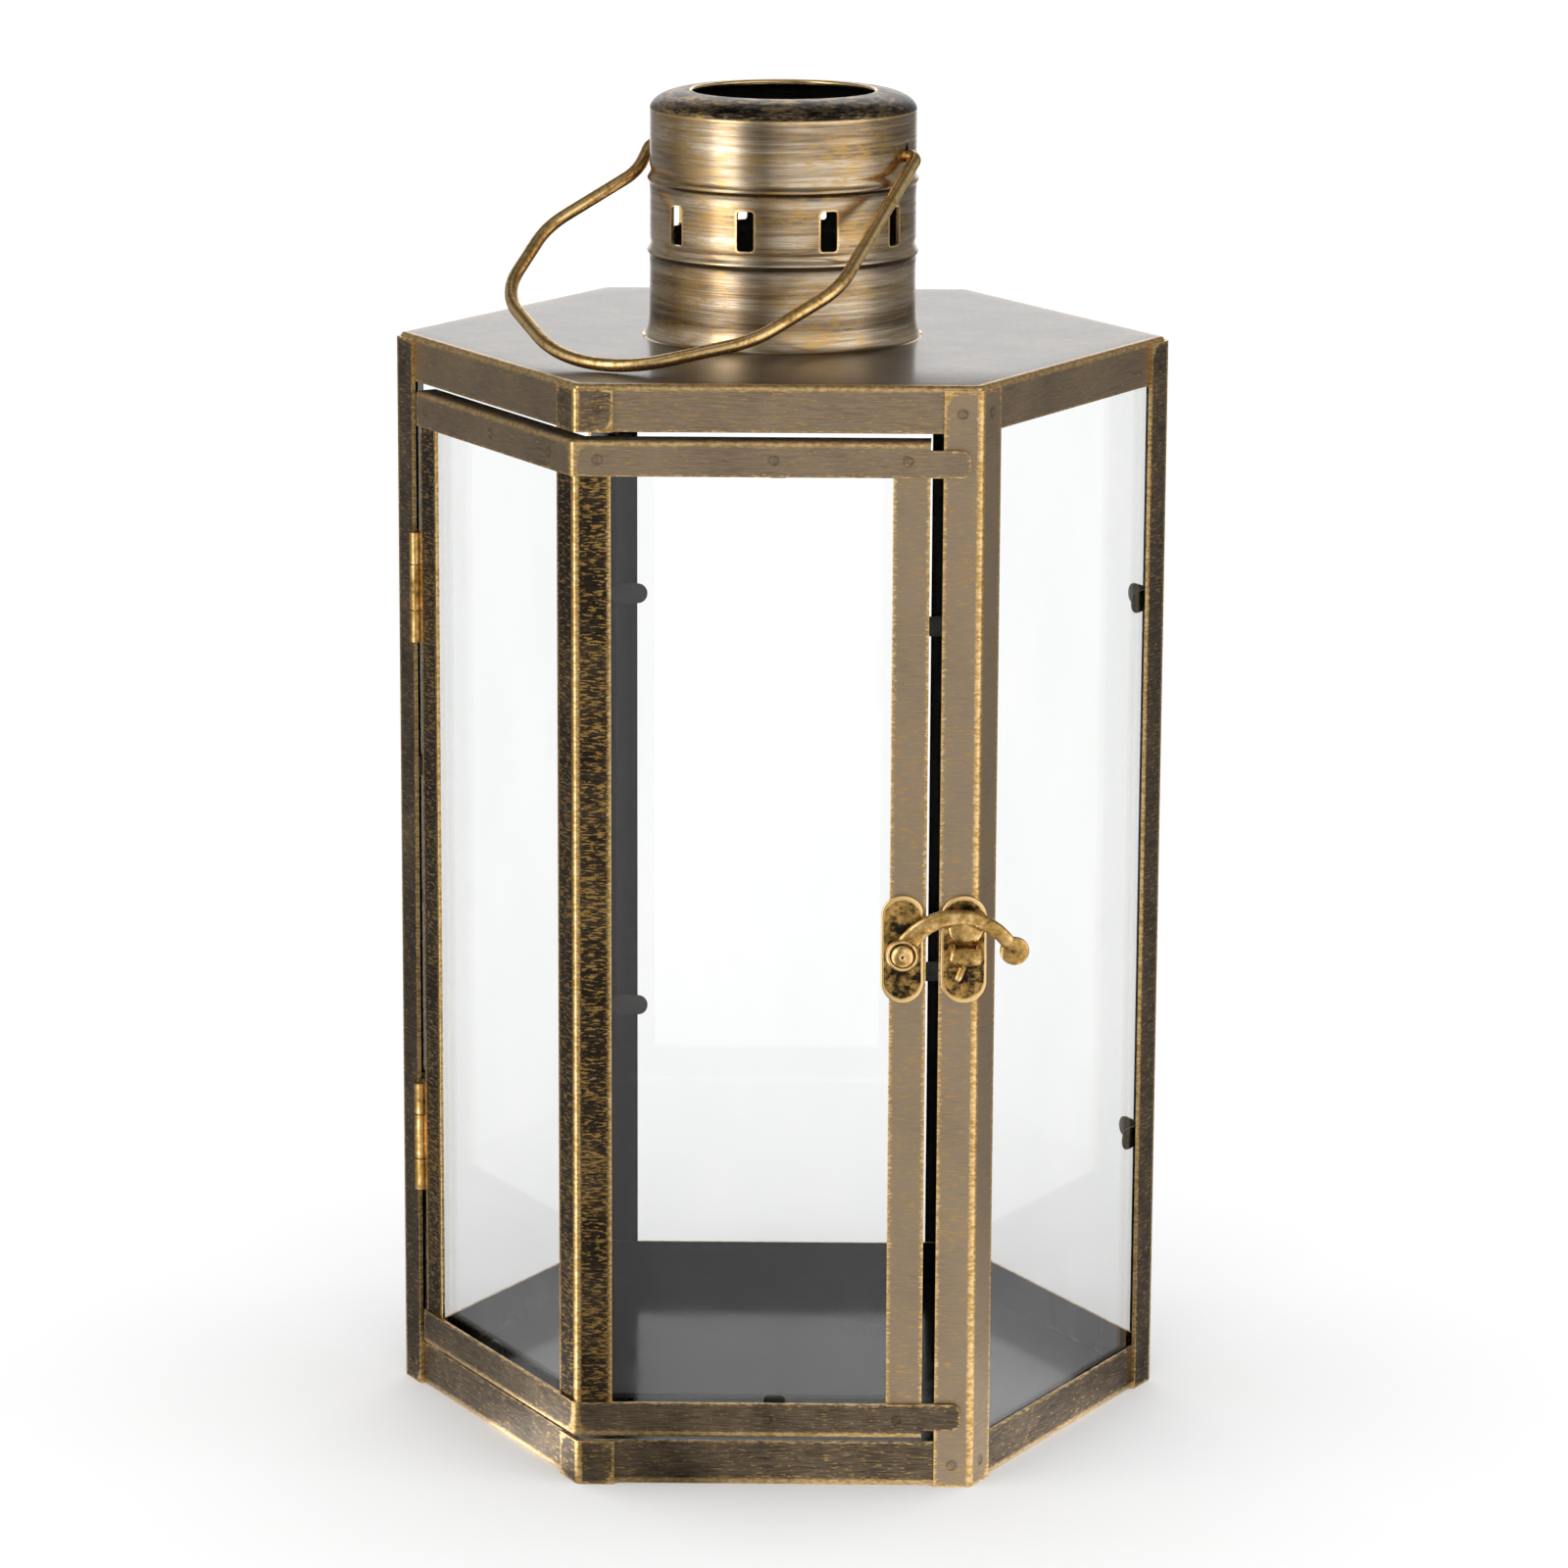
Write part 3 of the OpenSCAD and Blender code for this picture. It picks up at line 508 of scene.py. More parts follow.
def spun_group():
    """Spun brass: rings of fine lathe lines in pale and golden bands, gold at the rims that is partly
    worn-through brass and partly a painted highlight, and brown patches that are partly patina and partly
    painted shade.
    """
    colours = finish()
    tree, given, result = group(
        "Spun brass", [("Vector", "Vector"), ("Edge", "Float", FAR), ("Hollow", "Float", 0.0)], BRASS_OUT)
    vector = given["Vector"]
    lines = noise(tree, vector, 1500, (0.035, 0.035, 1), 4, 0.7)
    bands = noise(tree, vector, 260, (0.05, 0.05, 1))
    cloud = noise(tree, vector, 60, (1, 1, 1.6), 4, 0.65)
    rub = noise(tree, vector, 1700, (0.2, 0.2, 1), 4, 0.7)
    mixed = shares(tree, lines, 0.5, bands)
    pale = blend(tree, span(tree, mixed, 0.36, 0.64), tuple(colours.umber), tuple(colours.silver))
    thin = shares(tree, rub, 0.55, cloud)
    golden = blend(tree, span(tree, thin, 0.46, 0.60, 0, 0.75), pale, tuple(colours.amber))
    ragged = times(tree, less(tree, rub, 0.5), 1.2)
    # Gold at the rims: partly worn-through brass, partly a painted highlight
    edge = span(tree, plus(tree, given["Edge"], ragged), 0.75, 0.1)
    rim_gold_and_highlight = blend(tree, edge, golden, tuple(colours.gold))
    # Brown patches where the chimney is given them: partly patina, partly painted shade
    patina_and_shade = times(tree, given["Hollow"], span(tree, thin, 0.66, 0.44), clamp=True)
    give(tree, result, Color=blend(tree, patina_and_shade, rim_gold_and_highlight, tuple(colours.patina)),
         Roughness=plus(tree, 0.22, times(tree, given["Hollow"], 0.14)),
         Height=plus(tree, lines, times(tree, bands, 0.6)))


def cast_group():
    """Cast or drawn brass: gold on what stands proud, partly worn-through brass and partly a painted
    highlight, brown patina in what lies back, mottled.
    """
    colours = finish()
    tree, given, result = group(
        "Rubbed brass", [("Vector", "Vector"), ("Proud", "Float", 0.5), ("Grain", "Float", 600.0),
                         ("Dark", "Float", 0.5)], BRASS_OUT)
    mottle = noise(tree, given["Vector"], given["Grain"], (1, 1, 1), 4, 0.7)
    cloud = noise(tree, given["Vector"], 130, (1, 1, 1))
    proud = times(tree, less(tree, given["Proud"], 0.5), 1.1)
    dark = times(tree, less(tree, given["Dark"], 0.5), 0.3)
    tone = less(tree, plus(tree, shares(tree, mottle, 0.6, cloud), proud), dark)
    low = blend(tree, span(tree, tone, 0.30, 0.48), tuple(colours.patina), tuple(colours.amber))
    give(tree, result, Color=blend(tree, span(tree, tone, 0.46, 0.60), low, tuple(colours.gold)),
         Roughness=span(tree, tone, 0.35, 0.6, 0.45, 0.27), Height=mottle)


def studio_group():
    """What polished metal sees: panels of light round the object by compass direction, a
    dim ceiling, and white behind."""
    brightest = 2.4
    stops = (
        (-180, 1.0), (-166, 0.95), (-156, 0.24), (-104, 0.22), (-88, 0.40), (-66, 0.75), (-57, 2.3),
        (-45, 2.3), (-32, 0.35), (-15, 0.15), (-5, 0.48), (12, 0.80), (66, 1.05), (92, 0.36),
        (116, 0.24), (156, 0.22), (166, 0.95), (180, 1.0))
    tree, given, result = group("Studio panels", [("Vector", "Vector")], [("Level", "Float")])
    x, y, z = put(tree, "ShaderNodeSeparateXYZ", {0: given["Vector"]}).outputs
    compass = calc(tree, "ARCTAN2", x, times(tree, y, -1.0))
    share = plus(tree, calc(tree, "DIVIDE", compass, 2 * math.pi), 0.5)
    ramp = put(tree, "ShaderNodeValToRGB", {0: share})
    bar = ramp.color_ramp
    bar.interpolation = "EASE"
    bar.elements.remove(bar.elements[1])
    for number, (degrees, level) in enumerate(stops):
        place = degrees / 360 + 0.5
        stop = bar.elements.new(place) if number else bar.elements[0]
        stop.position = place
        stop.color = (level / brightest,) * 3 + (1,)
    flat = calc(tree, "SQRT", plus(tree, times(tree, x, x), times(tree, y, y)))
    rise = calc(tree, "ARCTAN2", z, flat)
    ceiling = span(tree, rise, math.radians(22), math.radians(48), brightest, 0.6)
    give(tree, result, Level=times(tree, ramp.outputs[0], ceiling))


def reflected(tree):
    """One for a ray that a glossy surface sent out, and nought for any other."""
    path = tree.nodes.new("ShaderNodeLightPath").outputs
    return times(tree, path["Is Glossy Ray"], less(tree, 1.0, path["Is Transmission Ray"]))


def new_material(name, **constants):
    """A material with a plain shader, whose sockets get these values."""
    material = bpy.data.materials.new(name)
    material.use_nodes = True
    tree = material.node_tree
    tree.nodes.clear()
    shader = put(tree, "ShaderNodeBsdfPrincipled")
    for key, value in constants.items():
        shader.inputs[key.replace("_", " ")].default_value = value
    put(tree, "ShaderNodeOutputMaterial", {"Surface": shader.outputs[0]})
    return tree, shader


def place_group(tree, name, values):
    return put(tree, "ShaderNodeGroup", values, node_tree=bpy.data.node_groups[name]).outputs


def bumped(tree, shader, height, strength, depth):
    values = {"Height": height, "Strength": strength, "Distance": depth * MM}
    tree.links.new(put(tree, "ShaderNodeBump", values).outputs[0], shader.inputs["Normal"])


def brass(name, base, bump, depth, layers=(), coat=0.0, coat_rough=0.25, **values):
    """A brass material from one of the groups. layers names the values that the piece's
    own points carry for it."""
    tree, shader = new_material(name, Metallic=1, Coat_Weight=coat, Coat_Roughness=coat_rough)
    joins = {"Vector": own_place(tree), **values}
    joins.update({key: own_value(tree, key.lower()) for key in layers})
    made = place_group(tree, base, joins)
    tree.links.new(made["Color"], shader.inputs["Base Color"])
    tree.links.new(made["Roughness"], shader.inputs["Roughness"])
    bumped(tree, shader, made["Height"], bump, depth)
    return tree, shader, made


def make_materials():
    """Builds the shader groups and every material once, with its own values."""
    antique_group()
    spun_group()
    cast_group()
    studio_group()
    sheets = {
        "Sheet brass": dict(Dark=0.12, Flecks=0.5, Rub=0.7, Wear=0.45),
        # The base and the lower rail take far more Dark than the roof's rim and the upper rail: painted
        # shade, darker towards the bottom
        "Base brass": dict(Dark=0.56, Flecks=0.4, Rub=0.7, Wear=0.35),
        "Rail brass": dict(Dark=0.15, Flecks=0.4, Rub=0.7, Wear=0.4),
        "Low rail brass": dict(Dark=0.52, Flecks=0.35, Rub=0.7, Wear=0.35),
        "Dark brass": dict(Dark=0.85, Flecks=0.8),
        "Bracket brass": dict(Dark=0.5, Flecks=0.5, Wear=0.5),
        "Side brass": dict(Dark=0.6, Flecks=0.5, Wear=0.7),
        "Post brass": dict(Dark=-0.1, Flecks=0.45, Wear=0.8)}
    # The edge and fold values place gold that is partly a painted highlight
    edge_fold_mark_layers = ("Edge", "Fold", "Mark")
    for name, values in sheets.items():
        brass(name, "Antique brass", 0.35, 0.05, edge_fold_mark_layers, **values)
    # The roof's lacquer is thinner along its front
    tree, shader, _ = brass(
        "Roof brass", "Antique brass", 0.12, 0.05, edge_fold_mark_layers, coat=1.0, coat_rough=0.16,
        Dark=0.62, Flecks=0.2, Stroke=(0.06, 1.0, 1.0))
    inwards = put(tree, "ShaderNodeSeparateXYZ", {0: own_place(tree)}).outputs[1]
    tree.links.new(span(tree, inwards, -0.078, -0.048, 0.12, 0.6), shader.inputs["Coat Weight"])
    brass("Chimney brass", "Spun brass", 0.5, 0.06, ("Edge", "Hollow"))
    for name, grain, dark in (("Hinge brass", 500, 0.55), ("Wire brass", 700, 0.3)):
        brass(name, "Rubbed brass", 0.2, 0.05, Proud=0.5, Grain=grain, Dark=dark)
    tree, _, made = brass("Cast brass", "Rubbed brass", 0.2, 0.05, Grain=420, Dark=0.66)
    # Convex parts get gold, partly worn-through brass and partly a painted highlight; what lies back keeps
    # brown patina
    proud = tree.nodes.new("ShaderNodeNewGeometry").outputs["Pointiness"]
    tree.links.new(span(tree, proud, 0.46, 0.55, 0.30, 0.74), made["Color"].node.inputs["Proud"])
    tree, _, made = brass("Cast plate", "Rubbed brass", 0.2, 0.05, Grain=500, Dark=0.5)
    # Gold towards the plate's rounded rim: partly worn-through brass, partly a painted highlight
    near = own_value(tree, "edge")
    tree.links.new(span(tree, near, 0.45, 0.1, 0.38, 0.66), made["Color"].node.inputs["Proud"])
    enamel()
    clear_glass()


def enamel():
    """Black paint inside the metalwork, glossier on the floor."""
    black, grey = tuple(finish().enamel), (0.055, 0.055, 0.05, 1)
    for name, rough, tint in (
            ("Black enamel", 0.36, black), ("Floor enamel", 0.1, black), ("Tongue enamel", 0.3, grey)):
        tree, shader = new_material(name, Specular_IOR_Level=0.08)
        peel = noise(tree, own_place(tree), 420, (1, 1, 1), 2, 0.5)
        dust = noise(tree, own_place(tree), 70, (1, 1, 1), 4, 0.7)
        tone = blend(tree, span(tree, dust, 0.5, 0.75, 0, 0.35), tint, (0.03, 0.03, 0.028, 1))
        tree.links.new(tone, shader.inputs["Base Color"])
        tree.links.new(span(tree, dust, 0.3, 0.8, rough, rough + 0.12), shader.inputs["Roughness"])
        bumped(tree, shader, peel, 0.12, 0.12)


def clear_glass():
    """Window glass with a faint grey tint and a little dust."""
    tree, shader = new_material("Clear glass", Roughness=0.0, IOR=1.45, Transmission_Weight=1)
    dust = noise(tree, own_place(tree), 30, (1, 1, 0.5))
    tint = blend(tree, span(tree, dust, 0.3, 0.8), (0.97, 0.975, 0.97, 1), (0.94, 0.95, 0.945, 1))
    tree.links.new(tint, shader.inputs["Base Color"])


# ---- stage ----


def make_stage():
    """A white studio with panels that only reflections see, a pale floor and the camera."""
    light = finish().light
    world = bpy.data.worlds.new("Studio")
    bpy.context.scene.world = world
    world.use_nodes = True
    tree = world.node_tree
    tree.nodes.clear()
    where = tree.nodes.new("ShaderNodeTexCoord").outputs["Generated"]
    panels = times(tree, place_group(tree, "Studio panels", {"Vector": where})["Level"], 1.15)
    seen = put(tree, "ShaderNodeMix", {0: reflected(tree), 2: 1.0, 3: panels})
    back = put(tree, "ShaderNodeBackground", {"Color": seen.outputs[0], "Strength": light})
    put(tree, "ShaderNodeOutputWorld", {"Surface": back.outputs[0]})
    world.cycles.sampling_method = "NONE"

    tree, shader = new_material(
        "Pale floor", Base_Color=(0.86, 0.86, 0.86, 1), Roughness=1, Specular_IOR_Level=0)
    # For reflected rays the floor glows with the studio panels: painted reflections that only the brass
    # sees, not the camera
    level = {0: own_place(tree), 1: (1, 1, 0)}
    flat = put(tree, "ShaderNodeVectorMath", level, operation="MULTIPLY").outputs[0]
    panels = place_group(tree, "Studio panels", {"Vector": flat})["Level"]
    glow = put(tree, "ShaderNodeEmission", {"Color": panels, "Strength": light * 0.95})
    mixed = put(tree, "ShaderNodeMixShader", {0: reflected(tree), 1: shader.outputs[0], 2: glow.outputs[0]})
    tree.links.new(mixed.outputs[0], tree.nodes["Material Output"].inputs["Surface"])
    material = bpy.data.materials["Pale floor"]
    material.cycles.emission_sampling = "NONE"
    reach = 20000
    corners = [[[-reach, -reach, 0], [-reach, reach, 0]], [[reach, -reach, 0], [reach, reach, 0]]]
    mesh = surface("pale_floor", np.array(corners, float))
    mesh.materials.append(material)
    floor = bpy.data.objects.new("pale_floor", mesh)
    bpy.context.scene.collection.objects.link(floor)

    camera = bpy.data.objects.new("Camera", bpy.data.cameras.new("Camera"))
    bpy.context.scene.collection.objects.link(camera)
    bpy.context.scene.camera = camera
    azimuth, rise, roll = np.radians([0.55, 12.07, 0.27])
    distance, aim = 1.3787, np.array([0.00077, 0, 0.16586])
    back_way = np.array([
        math.sin(azimuth) * math.cos(rise), -math.cos(azimuth) * math.cos(rise), math.sin(rise)])
    camera.location = aim + distance * back_way
    look = Vector(-back_way).to_track_quat("-Z", "Y").to_matrix() @ Matrix.Rotation(roll, 3, "Z")
    camera.rotation_euler = look.to_euler()
    camera.data.lens = 134.18
    camera.data.sensor_width = 36
    camera.data.shift_y = -0.05
    bpy.context.scene.view_settings.view_transform = "Standard"


# ---- body ----


def hexagon_ring(plane, radius, sides):
    """Points round a hexagon with round corners, counterclockwise from the front face's
    middle, with each point's distance from the nearest corner's arc."""
    tangent = (plane - radius) * TAN30
    a = np.radians(np.linspace(-90, -30, 7))
    arc = np.array([tangent, radius - plane]) + radius * np.stack([np.cos(a), np.sin(a)], -1)
    straight = np.linspace(-tangent, tangent, sides + 1)[1:-1]
    side = np.concatenate([np.stack([straight, np.full_like(straight, -plane)], -1), arc])
    off = np.concatenate([tangent - np.abs(straight), np.zeros(len(arc))])
    return np.concatenate([turned(side, 60 * k) for k in range(6)]), np.tile(off, 6)


def tray(name, flat_z, rim_z, hole_r, node, materials):
    """A six-sided tray: its rim stands from the cut edge to the fold, the fold is a
    quarter round, and its flat shrinks in rings to a round hole or to its middle."""
    way = math.copysign(1, flat_z - rim_z)
    rim_h = abs(flat_z - rim_z) - FOLD_R
    sides = 22
    ring, corner = hexagon_ring(TRAY, TRAY_CORNER, sides)
    none = np.zeros(len(ring))
    columns = [(ring, rim_z + way * h, none + h, np.minimum(corner, rim_h - h))
               for h in np.linspace(0, rim_h, 5)]
    for a in np.radians(np.linspace(0, 90, 7))[1:]:
        inset = FOLD_R * (1 - math.cos(a))
        around, _ = hexagon_ring(TRAY - inset, max(TRAY_CORNER - inset, 0.3), sides)
        columns.append((around, flat_z - way * FOLD_R * (1 - math.sin(a)), none + FAR, none))
    rim_columns = len(columns) - 1
    last = columns[-1][0]
    angle = np.arctan2(last[:, 1], last[:, 0])
    inner = hole_r * np.stack([np.cos(angle), np.sin(angle)], -1)
    for t in np.linspace(0, 1, 12)[1:]:
        columns.append((last + (inner - last) * t, flat_z, none + FAR, none + 49 * t))
    grid = np.stack([np.column_stack([flat, none + z]) for flat, z, _, _ in columns], 1)
    edge, fold = (np.stack([column[k] for column in columns], 1) for k in (2, 3))
    index = (np.arange(len(columns) - 1) >= rim_columns).astype(int)
    if way < 0:
        grid, edge, fold, index = grid[:, ::-1], edge[:, ::-1], fold[:, ::-1], index[::-1]
    mesh = surface(name, grid, wrap=True, layers={"edge": edge, "fold": fold}, index=index[None])
    piece(closed(mesh), "lantern", [node], materials, SHEET)


def make_roof():
    """The roof: a tray turned over, with a round hole for the chimney."""
    tray("roof", BODY_TOP, ROOF_RIM, 28, "roof_cap",
         ["Sheet brass", "Roof brass", "Black enamel", "Black enamel"])


def make_base():
    """The base: a tray whose rim stands up."""
    # The base's brass is a darker copy of the sheet brass: painted shade
    tray("base", 0, BASE_RIM, 0, "base_pan",
         ["Base brass", "Base brass", "Floor enamel", "Floor enamel"])


def post_line(marks_in):
    """Plan of a corner post, with finer lines where its weld marks lie."""
    reach = HALF_SIDE - POST_LEG
    return corner_line(APOTHEM, reach, -reach, size("fold"), [marks_in], [-marks_in])


def corner_marks(corner, marks_in, heights):
    """Weld marks on both legs of a corner, at these heights."""
    return [on_face(face, along, APOTHEM, up)
            for up in heights for face, along in ((corner, marks_in), (corner + 1, -marks_in))]


def make_posts():
    """The five corner posts: folded strips carried up, with their tongues behind."""
    corners = {
        "post_front_right": FRONT, "post_right": FRONT_RIGHT, "post_back_right": BACK_RIGHT,
        "post_back_left": BACK, "post_left": BACK_LEFT}
    for name, corner in corners.items():
        marks = corner_marks(corner, POST_MARK, (BASE_RIM / 2, BODY_TOP - 6.2))
        leg = upright_strip(name, corner, post_line(POST_MARK), 0, POST_TOP, marks)
        look = "Post brass" if name == "post_front_right" else "Side brass"
        piece(leg, "lantern", [name], [look, "Black enamel"], SHEET)
        tongues = []
        for up in TONGUES[name]:
            if name != "post_front_right":
                tongues.append(tongue(corner, 1, up))
            if name != "post_left":
                tongues.append(tongue(corner + 1, -1, up))
            if name in ("post_front_right", "post_left"):
                tongues.append(web(corner, up))
        clips = joined(name.replace("post", "tongues"), tongues)
        piece(clips, "lantern", [], ["Tongue enamel"], bevel=0)


def web(corner, up):
    """The short web behind a post that carries its tongues, where the door takes the pane
    on one side."""
    depth = (APOTHEM - TONGUE_PLANE) / COS30
    start = TONGUE_PLANE / COS30 - SHEET
    outline = stadium((0, up), 1.2, 5, 0.3)
    return rounded_plate("web", outline, start, depth, corner + 0.5, rim=0.1)


def make_brackets():
    """The two short strips at the open corner; only the upper one has weld marks."""
    for name, low, high, look in (
            ("corner_bracket_top", ROOF_RIM, POST_TOP, "Bracket brass"),
            ("corner_bracket_bottom", 0, BASE_RIM, "Side brass")):
        marks = corner_marks(FRONT_LEFT, BRACKET_MARK, [(low + high) / 2 + 0.6]) if low else []
        leg = upright_strip(name, FRONT_LEFT, post_line(BRACKET_MARK), low, high, marks)
        piece(leg, "lantern", [name], [look, "Black enamel"], SHEET)


# ---- door ----


def make_stiles():
    """The door's three upright strips: two flat, and one folded round the corner."""
    flat = {
        "door_hinge_stile": (FRONT_LEFT, DOOR_LEFT, "Dark brass"),
        "door_lock_stile": (FRONT, DOOR_RIGHT - STRIP_W, "Post brass")}
    for name, (face, start, look) in flat.items():
        line = flat_line(start, start + STRIP_W, STRIP_PLANE)
        strip = upright_strip(name, face, line, STILE_LOW, STILE_HIGH)
        piece(strip, "door", [name], [look, "Black enamel"], SHEET)
    reach = STRIP_PLANE * TAN30 - STRIP_W
    line = corner_line(STRIP_PLANE, reach, -reach, size("fold"))
    strip = upright_strip("door_corner_stile", FRONT_LEFT, line, STILE_LOW, STILE_HIGH)
    piece(strip, "door", ["door_corner_stile"], ["Dark brass", "Black enamel"], SHEET)


# The way along the face that comes after the corner
NEXT_WAY = np.array([0.5, COS30])


def mitred(line, out, inset):
    """A corner line moved inwards: its straight stretches shorten so that they still meet
    on the corner's mitre, and its arc tightens."""
    tangent, close = (RAIL_PLANE - RAIL_CORNER) * TAN30, max(RAIL_CORNER - inset, 0.2)
    near = (RAIL_PLANE - inset - close) * TAN30
    ahead = turned(line, -60)
    first, last = out[:, 1] < -0.9999, np.abs(out @ NEXT_WAY) < 1e-4
    x = DOOR_LEFT + (line[:, 0] - DOOR_LEFT) * (near - DOOR_LEFT) / (tangent - DOOR_LEFT)
    one = np.stack([x, np.full_like(x, inset - RAIL_PLANE)], -1)
    x = RAIL_RIGHT - (RAIL_RIGHT - ahead[:, 0]) * (RAIL_RIGHT + near) / (RAIL_RIGHT + tangent)
    two = turned(np.stack([x, np.full_like(x, inset - RAIL_PLANE)], -1), 60)
    bend = np.array([near, close + inset - RAIL_PLANE]) + close * out
    return np.where(first[:, None], one, np.where(last[:, None], two, bend))


def make_rail(name, low, way, marks_left, marks_front, look):
    """A rail: the section of a strip with its lip folded in, carried round the door's
    corner. Past the door's end only the strip's lower part goes on, to a round end. It is
    worked out with its lip down; way says whether it stays so or is turned over."""
    lip, end_r, step = 5.0, 2.0, 2.0
    mark_up = STRIP_W / 2 + 0.3
    line, out, run, fold = corner_line(
        RAIL_PLANE, DOOR_LEFT, RAIL_RIGHT, RAIL_CORNER, marks_left,
        [*marks_front, DOOR_RIGHT, RAIL_RIGHT - 1])
    rise = knots(FOLD_R, STRIP_W, 1.2, [mark_up, STRIP_W - 1, 3])[::-1]
    arc = np.radians(np.linspace(0, 90, 6))[1:]
    up = np.concatenate([rise, FOLD_R * (1 - np.sin(arc)), np.zeros(3)])
    inset = np.concatenate([
        0 * rise, FOLD_R * (1 - np.cos(arc)), FOLD_R + (lip - FOLD_R) * np.array([0.3, 0.7, 1])])
    plan = np.stack([mitred(line, out, i) for i in inset], 1)
    grid = np.concatenate([plan, np.broadcast_to(up[None, :, None], (len(line), len(up), 1))], -1)
    along = (run - run[-1] + RAIL_RIGHT)[:, None] + 0 * up
    tab = along > DOOR_RIGHT + 0.01
    for centre_up, side in ((step + end_r, -1), (STRIP_W - end_r, 1)):
        p = np.maximum(along - (RAIL_RIGHT - end_r), 0)
        q = (up - centre_up)[None] * side + 0 * p
        corner = (p > 0) & (q > 0) & (q <= end_r + 0.01)
        shrink = np.where(corner, np.maximum(p, q) / np.maximum(np.hypot(p, q), 1e-6), 1) - 1
        grid[..., :2] += (shrink * p)[..., None] * NEXT_WAY
        grid[..., 2] += shrink * q * side
    grid = turned(grid, -60)
    normal = np.concatenate([turned(out, -60), np.zeros((len(out), 1))], -1)[:, None] + 0 * grid
    places = [on_face(-1, m, RAIL_PLANE, mark_up) for m in marks_left]
    places += [on_face(0, m, RAIL_PLANE, mark_up) for m in marks_front]
    grid = dented(grid, normal, places)
    above = (up[:-1] > step - 0.01) & (up[1:] > step - 0.01)
    keep = ~tab[1:, :-1] | above[None]
    ends = np.minimum(run, run[-1] - run)[:, None]
    cut = np.where(tab, np.minimum(STRIP_W - up, up - step), STRIP_W - up)
    lip_fold = np.where(tab, FAR, np.maximum(up - FOLD_R, inset))
    layers = {"edge": np.maximum(np.minimum(ends, cut), 0), "fold": np.minimum(fold[:, None], lip_fold),
              "mark": ringed(grid, places)}
    if way > 0:
        grid, keep = grid[:, ::-1], keep[:, ::-1]
        layers = {key: value[:, ::-1] for key, value in layers.items()}
    grid = grid * (1, 1, way) + (0, 0, low)
    strip = surface(name, grid, keep=keep, layers=layers)
    piece(strip, "door", [name], [look, "Black enamel"], SHEET)
    height = STRIP_W + 0.8
    outline = stadium((0, low + way * height / 2), 5, height, 1.2)
    tongues = [rounded_plate("rail tongue", outline, RAIL_PLANE - lip - 0.05, SHEET, face, rim=0.15)
               for face in (FRONT, FRONT_LEFT)]
    clips = joined(name.replace("rail", "tongues"), tongues)
    piece(clips, "door", [], ["Tongue enamel"], bevel=0)


def make_rails():
    """The door's two rails, the upper one turned over."""
    make_rail("door_top_rail", DOOR_HIGH, -1, (-27.6, 6.0, 34.8), (-39.9, -1.0, 28.7), "Rail brass")
    # The lower rail's brass is a darker copy of the upper rail's: painted shade
    make_rail("door_bottom_rail", DOOR_LOW, 1, (), (-1.5, 27.8), "Low rail brass")


# ---- chimney ----


def chimney_profile():
    """Outer line of the chimney from its foot to its mouth, in rising order: a quarter
    curve for the flared foot, the wall with a round bead at two heights, a crease, and a
    quarter curve for the shoulder. Gives radius and height, and how much brown lies at
    each height, partly patina and partly painted shade below the beads and over the shoulder."""
    flare = 5.6
    foot_a = np.radians(np.linspace(0, 90, 12))
    foot_r = FOOT_R - (FOOT_R - WALL_R) * np.sin(foot_a)
    foot_z = BODY_TOP + flare * (1 - np.cos(foot_a))
    wall_z = np.linspace(foot_z[-1], CHIMNEY_TOP - DOME_H, 120)[1:]
    wall_r = np.full_like(wall_z, WALL_R)
    for bead in BEADS:
        d = wall_z - bead
        wall_r += 0.62 * np.exp(-(d / 0.75) ** 2) - 0.22 * np.exp(-((d - 1.9) / 0.8) ** 2)
    dome_a = np.radians(np.linspace(0, 90, 16))[1:]
    dome_r = MOUTH_R + (WALL_R - MOUTH_R) * np.cos(dome_a)
    dome_z = CHIMNEY_TOP - DOME_H + DOME_H * np.sin(dome_a)
    # Brown below each bead and over the whole shoulder: partly patina, partly painted shade
    below_bead_shade = sum(0.6 * np.exp(-((wall_z - bead + 1.6) / 0.8) ** 2) for bead in BEADS)
    hollow = np.concatenate([np.full_like(foot_r, 0.1), below_bead_shade, np.ones_like(dome_r)])
    return np.concatenate([foot_r, wall_r, dome_r]), np.concatenate([foot_z, wall_z, dome_z]), hollow


